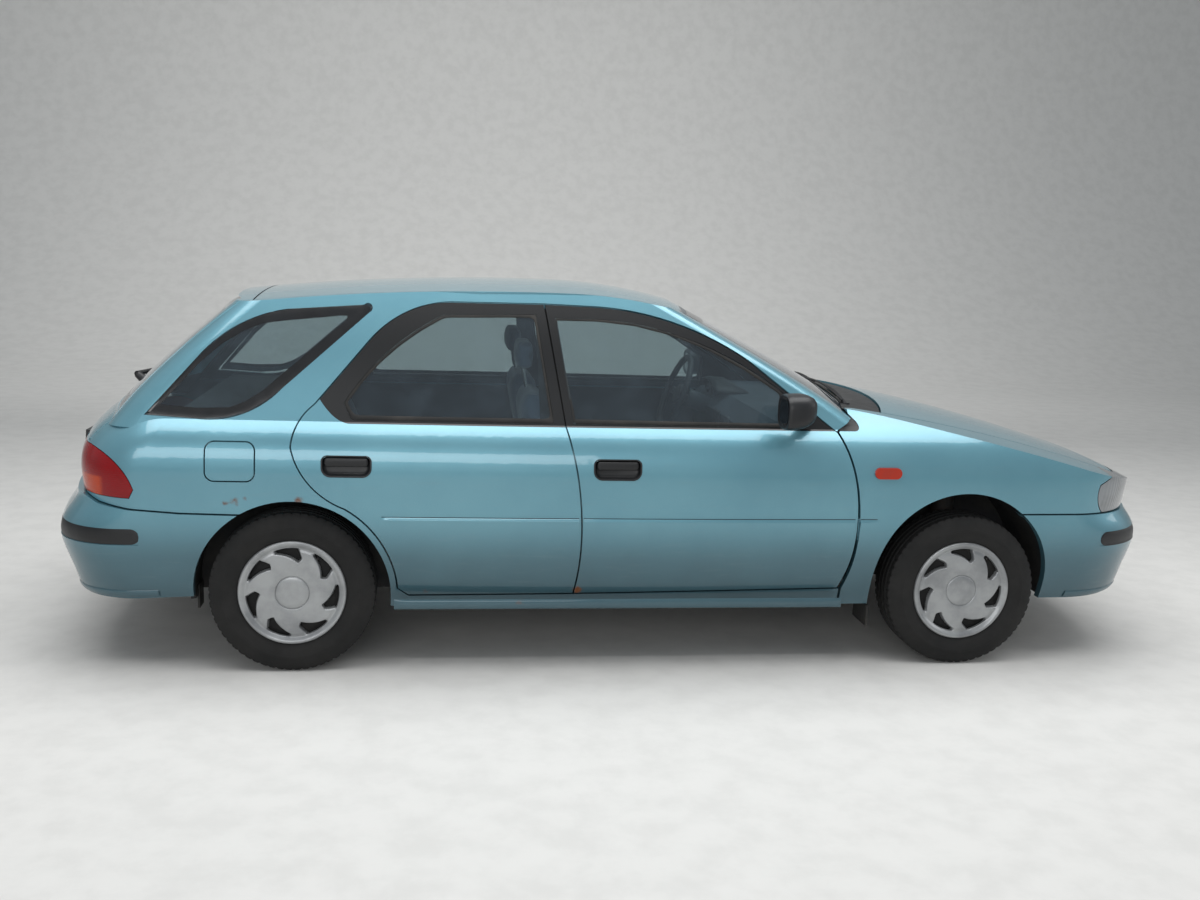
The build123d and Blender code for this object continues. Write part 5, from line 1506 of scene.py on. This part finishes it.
@dataclass
class Cushion:
    """One padded piece of a seat.

    Args:
        name: Name of the piece.
        outline: Closed outline in x and z, in metres.
        y0: Lower y.
        y1: Higher y.
        top: Direction in x and z that the sitting face looks towards.
        cap: Furthest that a point may swell.
        seams: Distances from the middle in y of the sewn channels.
        cross: Places of cross channels along the outline's long way, as shares.
        seam_depth: Depth and width of a channel.
        voxel: Size of the even skin's cells.
        frames: Frames that the cloth is blown up for.
    """

    name: str
    outline: Sequence[tuple[float, float]]
    y0: float
    y1: float
    top: tuple[float, float]
    cap: float = 0.014
    seams: tuple[float, ...] = ()
    cross: tuple[float, ...] = ()
    seam_depth: float = 0.009
    voxel: float = 0.013
    frames: int = 20

    def start(self) -> tuple[np.ndarray, list[Face]]:
        """The unswollen shape: the outline drawn in 12 mm, scaled by (1 - |s|^9)^(1/5) across s in -1..1.

        Returns:
            Points and faces.
        """
        ring = resample(self.outline, 84)
        for _ in range(5):
            ring = (np.roll(ring, 1, 0) + 2 * ring + np.roll(ring, -1, 0)) / 4
        mid = ring.mean(0)
        reach = np.linalg.norm(ring - mid, axis=1)[:, None]
        ring = mid + (ring - mid) * (1 - 0.012 / reach)
        s = np.sin(np.linspace(-np.pi / 2, np.pi / 2, 40))
        scale = np.maximum(1 - np.abs(s) ** 9, 0.02) ** 0.2
        half, centre = (self.y1 - self.y0) / 2 - 0.010, (self.y0 + self.y1) / 2
        x = mid[0] + (ring[None, :, 0] - mid[0]) * scale[:, None]
        z = mid[1] + (ring[None, :, 1] - mid[1]) * scale[:, None]
        y = np.repeat((centre + half * s)[:, None], len(ring), 1)
        return np.stack([x, y, z], -1), capped(len(s), len(ring))

    def swell(self, obj: Piece) -> None:
        """Blows the skin up as cloth for 20 frames and keeps each point within the cap.

        Args:
            obj: The cushion.
        """
        scene = bpy.context.scene
        start = self.points(obj)
        cloth = obj.modifiers.new("skin", "CLOTH")
        cloth.settings.use_pressure = True
        cloth.settings.uniform_pressure_force = 4.0
        cloth.settings.tension_stiffness = cloth.settings.compression_stiffness = 30.0
        cloth.settings.effector_weights.gravity = 0.0
        cloth.point_cache.frame_start, cloth.point_cache.frame_end = 1, self.frames
        for step in range(1, self.frames + 1):
            scene.frame_set(step)
        graph = bpy.context.evaluated_depsgraph_get()
        shaped = obj.evaluated_get(graph).to_mesh()
        end = np.zeros(len(shaped.vertices) * 3)
        shaped.vertices.foreach_get("co", end)
        move = end.reshape(-1, 3) - start
        obj.evaluated_get(graph).to_mesh_clear()
        obj.modifiers.remove(cloth)
        size = np.linalg.norm(move, axis=1)[:, None] + 1e-9
        move *= np.minimum(size, self.cap) / size
        self.set_points(obj, start + move)
        scene.frame_set(1)

    @staticmethod
    def points(obj: Piece, what: str = "co") -> np.ndarray:
        """The mesh's points, or another vector of each point, as an array.

        Args:
            obj: The piece.
            what: Name of the vector.

        Returns:
            One row for each point.
        """
        out = np.zeros(len(obj.data.vertices) * 3)
        obj.data.vertices.foreach_get(what, out)
        return out.reshape(-1, 3)

    @staticmethod
    def set_points(obj: Piece, points: np.ndarray) -> None:
        """Writes an array of points into the mesh."""
        obj.data.vertices.foreach_set("co", points.ravel())
        obj.data.update()

    def sew(self, obj: Piece) -> None:
        """Presses the channels in: depth 9 mm times exp(-(d / 9 mm)^2), on the sitting face only.

        Args:
            obj: The cushion.
        """
        points, normal = self.points(obj), self.points(obj, "normal")
        face = np.clip(normal[:, 0] * self.top[0] + normal[:, 2] * self.top[1], 0, 1) ** 0.5
        off = np.abs(points[:, 1] - (self.y0 + self.y1) / 2)
        widest = max(self.seams) if self.seams else 9
        dip = np.zeros(len(points))
        for seam in self.seams:
            dip = np.maximum(dip, np.exp(-((off - seam) / self.seam_depth) ** 2))
        along = points[:, 0] * self.top[1] - points[:, 2] * self.top[0]
        low, high = along.min(), along.max()
        for share in self.cross:
            line = low + (high - low) * share
            dip = np.maximum(dip, (off < widest) * np.exp(-((along - line) / self.seam_depth) ** 2))
        bolster = np.clip((off - widest) / 0.06, 0, 1) * face * 0.008
        points -= normal * (dip * face * self.seam_depth)[:, None]
        points[:, 0] += self.top[0] * bolster
        points[:, 2] += self.top[1] * bolster
        self.set_points(obj, points)

    def build(self, maker: Maker) -> Piece:
        """Makes the finished cushion.

        Args:
            maker: Makes the mesh in its look.

        Returns:
            The cushion.
        """
        obj = maker.mesh(self.name, *self.start(), "seat_cloth", 180)
        remesh = obj.modifiers.new("even", "REMESH")
        remesh.mode, remesh.voxel_size = "VOXEL", self.voxel
        make_active(obj)
        bpy.ops.object.modifier_apply(modifier="even")
        self.swell(obj)
        self.sew(obj)
        obj.data.polygons.foreach_set("use_smooth", [True] * len(obj.data.polygons))
        smooth = obj.modifiers.new("fine", "SUBSURF")
        smooth.levels = smooth.render_levels = 1
        make_active(obj)
        bpy.ops.object.modifier_apply(modifier="fine")
        return obj


class Seats(Maker):
    """The two front seats and the rear bench."""

    def mirrored(self, obj: Piece, name: str) -> Piece:
        """A copy of a piece on the other side of the car.

        Args:
            obj: The piece.
            name: Name of the copy.

        Returns:
            The copy.
        """
        copy = obj.copy()
        copy.data = obj.data.copy()
        copy.name = name
        bpy.context.scene.collection.objects.link(copy)
        points = Cushion.points(copy)
        points[:, 1] *= -1
        Cushion.set_points(copy, points)
        copy.data.flip_normals()
        return copy

    def upholster(self, piece: Piece, node: str) -> None:
        """Puts a cushion on the body and lets it stand for its CAD node, which it hides.

        Args:
            piece: The cushion.
            node: CAD node that it stands for.
        """
        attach(piece, "body")
        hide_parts(node)

    def build(self) -> None:
        """Makes every seat piece, sewn, with its steel parts."""
        front = [
            Cushion(
                "front_cushion", [
                    (-0.330, 0.330), (0.130, 0.322), (0.168, 0.425), (0.118, 0.464), (-0.240, 0.448),
                    (-0.326, 0.428),
                ], 0.103, 0.597, (0, 1), 0.016, (0.155,), (0.30, 0.66),
            ),
            Cushion(
                "front_back",
                [(-0.226, 0.452), (-0.352, 1.014), (-0.398, 1.030), (-0.442, 1.012), (-0.352, 0.452)],
                0.113, 0.587, (0.976, 0.218), 0.016, (0.150,), (0.30, 0.62),
            ),
            Cushion(
                "front_head_rest", [(-0.386, 1.068), (-0.386, 1.196), (-0.460, 1.196), (-0.460, 1.068)],
                0.218, 0.482, (1, 0), 0.010,
            ),
        ]
        rear = [
            Cushion(
                "rear_cushion", [
                    (-0.520, 0.270), (-0.500, 0.440), (-0.542, 0.484), (-0.985, 0.496), (-0.985, 0.455),
                    (-0.880, 0.440), (-0.874, 0.270),
                ], -0.575, 0.575, (0, 1), 0.016, (0.02, 0.33), (0.5,),
            ),
            Cushion(
                "rear_back",
                [(-1.013, 0.455), (-1.178, 0.878), (-1.212, 0.911), (-1.258, 0.902), (-1.128, 0.455)],
                -0.575, 0.575, (0.93, 0.36), 0.016, (0.02, 0.33), (0.45,),
            ),
        ]
        for cushion in front:
            left = cushion.build(self)
            right = self.mirrored(left, cushion.name + "_right")
            left.name = cushion.name + "_left"
            for piece in (left, right):
                self.upholster(piece, "front_seats")
        for cushion in rear:
            self.upholster(cushion.build(self), "rear_seat")
        boxes = (
            ("seat_runner", (0.165, 0.535), 0.015, (-0.300, 0.130), (0.2595, 0.318), 0.004, "steel"),
            ("recliner_cover", (0.106, 0.594), 0.010, (-0.345, -0.215), (0.352, 0.470), 0.008, "cabin_dark"),
        )
        for side in Side:
            s, word = side.value, side.word
            for n, y in enumerate((0.300, 0.400)):
                line = [(-0.411, s * y, 1.005), (-0.417, s * y, 1.04), (-0.423, s * y, 1.085)]
                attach(self.bar(f"head_rest_post_{n}_{word}", line, 0.006, "chrome"), "body")
            for name, places, half, (x0, x1), (z0, z1), radius, look in boxes:
                for n, y in enumerate(places):
                    corners = (x0, s * (y - half), z0), (x1, s * (y + half), z1)
                    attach(self.box(f"{name}_{n}_{word}", *corners, radius, look), "body")


class Cabin(Maker):
    """What shows of the cabin through the windows."""

    def build(self) -> None:
        """Makes the instrument hood, vents, levers, pedals, mirror and the seat belts."""
        t = np.linspace(0, np.pi, 24)
        hood = self.mesh("instrument_hood", np.stack([
            np.array([0.475, 0.500, 0.560, 0.640])[:, None] + 0 * t[None],
            0.350 + np.array([0.165, 0.172, 0.176, 0.160])[:, None] * np.cos(t)[None],
            0.918 + np.array([0.050, 0.058, 0.054, 0.010])[:, None] * np.sin(t)[None] ** 0.8,
        ], -1), grid_faces(4, 24), "cabin_dark", 60)
        solid = hood.modifiers.new("thick", "SOLIDIFY")
        solid.thickness, solid.offset = 0.006, -1
        pieces = [hood]
        a = turn(40)
        for n, y in enumerate((0.275, 0.425)):
            ring = np.stack([0.498 + 0 * a, y + 0.052 * np.cos(a), 0.925 + 0.030 * np.sin(a)], 1)
            pieces.append(self.mesh(f"dial_{n}", ring, [tuple(range(39, -1, -1))], "gloss_black"))
        for n, y in enumerate((-0.62, -0.09, 0.09, 0.615)):
            vent = (0.462, y - 0.048, 0.800), (0.486, y + 0.048, 0.858)
            pieces.append(self.box(f"air_vent_{n}", *vent, 0.006, "cabin_dark"))
        a = np.linspace(0, np.pi, 14)
        knob = np.stack([0.280 + 0 * a, 0 * a, 0.545 - 0.030 * np.cos(a)], 1)
        z = np.linspace(0.412, 0.470, 9)
        boot = np.stack([0.298 - 0.03 * (z - 0.412), 0 * z, z], 1)
        folds = np.linspace(0.052, 0.012, 9) * (1 + 0.10 * np.cos(np.arange(9) * np.pi))
        lever = [(0.300, 0.0, 0.418), (0.292, 0.0, 0.480), (0.280, 0.0, 0.540)]
        brake = [(-0.05, 0.0, 0.420), (-0.16, 0.0, 0.440), (-0.27, 0.0, 0.452)]
        stem = [(0.312, 0.0, 1.190), (0.326, 0.0, 1.215), (0.333, 0.0, 1.245)]
        pieces += [
            self.bar("gear_lever", lever, 0.007, "steel"),
            self.bar("gear_knob", knob, np.maximum(0.025 * np.sin(a), 0.002), "cabin_dark", 20),
            self.bar("gear_lever_boot", boot, folds, "rubber", 24),
            self.bar("parking_brake_lever", brake, (0.011, 0.013, 0.016), "cabin_dark", 16),
            self.box("cabin_mirror", (0.290, -0.115, 1.150), (0.315, 0.115, 1.208), 0.010, "cabin_dark"),
            self.bar("cabin_mirror_stem", stem, 0.006, "cabin_dark", 12),
        ]
        for n, y in enumerate((0.25, 0.35, 0.46)):
            pad = (0.615, y - 0.030, 0.330), (0.625, y + 0.030, 0.395)
            arm = [(0.626, y, 0.360), (0.670, y, 0.420), (0.700, y, 0.560)]
            pieces.append(self.box(f"pedal_{n}", *pad, 0.004, "rubber"))
            pieces.append(self.bar(f"pedal_arm_{n}", arm, 0.007, "steel", 10))
        z = np.linspace(1.235, 0.300, 30)
        y = np.interp(z, [0.30, 0.60, 0.90, 1.235], [0.668, 0.690, 0.668, 0.606])
        x = np.interp(z, [0.30, 1.235], [-0.318, -0.372])
        for side in Side:
            corners = ((-0.022, 0.0), (0.022, 0.0), (0.022, 0.0016), (-0.022, 0.0016))
            strap = np.stack([np.stack([x + dx, side.value * (y - dy), z], 1) for dx, dy in corners], 1)
            pieces.append(self.mesh(f"seat_belt_{side.word}", strap, capped(30, 4), "rubber"))
        for piece in pieces:
            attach(piece, "body")


@dataclass
class Studio(Maker):
    """The floor, the light and the camera.

    Args:
        place: Where the camera stands, in metres.
        yaw: Camera yaw towards +x from +y, in degrees.
        pitch: Downward pitch.
        roll: Roll of the picture.
        focal_px: Focal length in pixels of a picture 1200 wide.
    """

    place: tuple[float, float, float] = (-0.748, -5.046, 1.579)
    yaw: float = 7.80
    pitch: float = 9.93
    roll: float = 2.07
    focal_px: float = 1199.0

    def camera(self) -> None:
        """Puts the camera where the photograph was taken from."""
        yaw, pitch, roll = (math.radians(v) for v in (self.yaw, self.pitch, self.roll))
        ahead = Vector((math.sin(yaw) * math.cos(pitch), math.cos(yaw) * math.cos(pitch), -math.sin(pitch)))
        right = Vector((math.cos(yaw), -math.sin(yaw), 0))
        up = right.cross(ahead)
        r = right * math.cos(roll) + up * math.sin(roll)
        u = up * math.cos(roll) - right * math.sin(roll)
        data = bpy.data.cameras.new("camera")
        data.sensor_width, data.lens = 36.0, 36.0 * self.focal_px / 1200.0
        obj = bpy.data.objects.new("camera", data)
        bpy.context.scene.collection.objects.link(obj)
        turn = Matrix((r, u, -ahead)).transposed()
        obj.matrix_world = Matrix.Translation(self.place) @ turn.to_4x4()
        bpy.context.scene.camera = obj

    def floor(self) -> None:
        """A pale floor that runs up into a backdrop far behind."""
        x = np.linspace(-40, 40, 3)
        y = np.r_[-30, np.linspace(8, 14, 24), 14.5]
        t = np.clip((y - 8) / 6, 0, 1)
        z = np.where(y > 14, 18, 6 - np.sqrt(np.maximum(36 - (t * 6) ** 2, 0)))
        z[0] = 0
        gx, gy = np.meshgrid(x, y, indexing="ij")
        points = np.stack([gx, gy, np.repeat(z[None], 3, 0)], -1)
        obj = self.mesh("studio_floor", points, grid_faces(3, len(y)), "floor", 80)

    def lamp(
        self, name: str, place: Sequence[float], size: Corner, watts: float,
        target: Sequence[float] = (0, 0, 0.6),
    ) -> None:
        """A soft rectangular lamp that faces a point.

        Args:
            name: Name of the lamp.
            place: Where it stands.
            size: Width and height.
            watts: Power.
            target: Point that it faces.
        """
        data = bpy.data.lights.new(name, "AREA")
        data.shape, data.size, data.size_y, data.energy = "RECTANGLE", *size, watts
        obj = bpy.data.objects.new(name, data)
        bpy.context.scene.collection.objects.link(obj)
        obj.location = place
        obj.rotation_euler = (Vector(target) - Vector(place)).to_track_quat("-Z", "Y").to_euler()

    def build(self) -> None:
        """Lights the scene with a large overhead panel, a soft front panel and an even world."""
        self.camera()
        self.floor()
        self.lamp("overhead", (0, -0.5, 5.2), (8.0, 5.0), 400)
        self.lamp("front", (-2.5, -8.5, 3.0), (7.0, 2.2), 150)
        self.lamp("backdrop", (0, 6.0, 4.6), (11.0, 1.6), 260, (0, 14, 2.4))
        self.lamp("bow", (7.5, -2.0, 3.0), (4.0, 3.0), 60)
        world = bpy.data.worlds.new("studio")
        world.use_nodes = True
        world.node_tree.nodes["Background"].inputs[0].default_value = linear("#DDE3E8")
        world.node_tree.nodes["Background"].inputs[1].default_value = 0.48
        bpy.context.scene.world = world
        bpy.context.scene.view_settings.view_transform = "Standard"


def dress_nodes(palette: Palette) -> None:
    """Gives every CAD node its material.

    Args:
        palette: The materials.
    """
    for node, obj in frame["nodes"].items():
        obj.data.materials.clear()
        obj.data.materials.append(palette[look_for(node)])


def main() -> None:
    """Builds the whole scene and reports each piece."""
    logging.basicConfig(level=logging.INFO)
    palette = Palette()
    dress_nodes(palette)
    wheels = [Wheel(palette, axle, side) for axle, side in WHEELS]
    for part in (Studio(palette), *wheels, Fittings(palette), Seats(palette), Cabin(palette)):
        known = set(bpy.data.objects.keys())
        part.build()
        for name in sorted(set(bpy.data.objects.keys()) - known):
            LOG.info("%s made %s", type(part).__name__, name)
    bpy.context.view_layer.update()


if __name__ == "__main__":
    main()
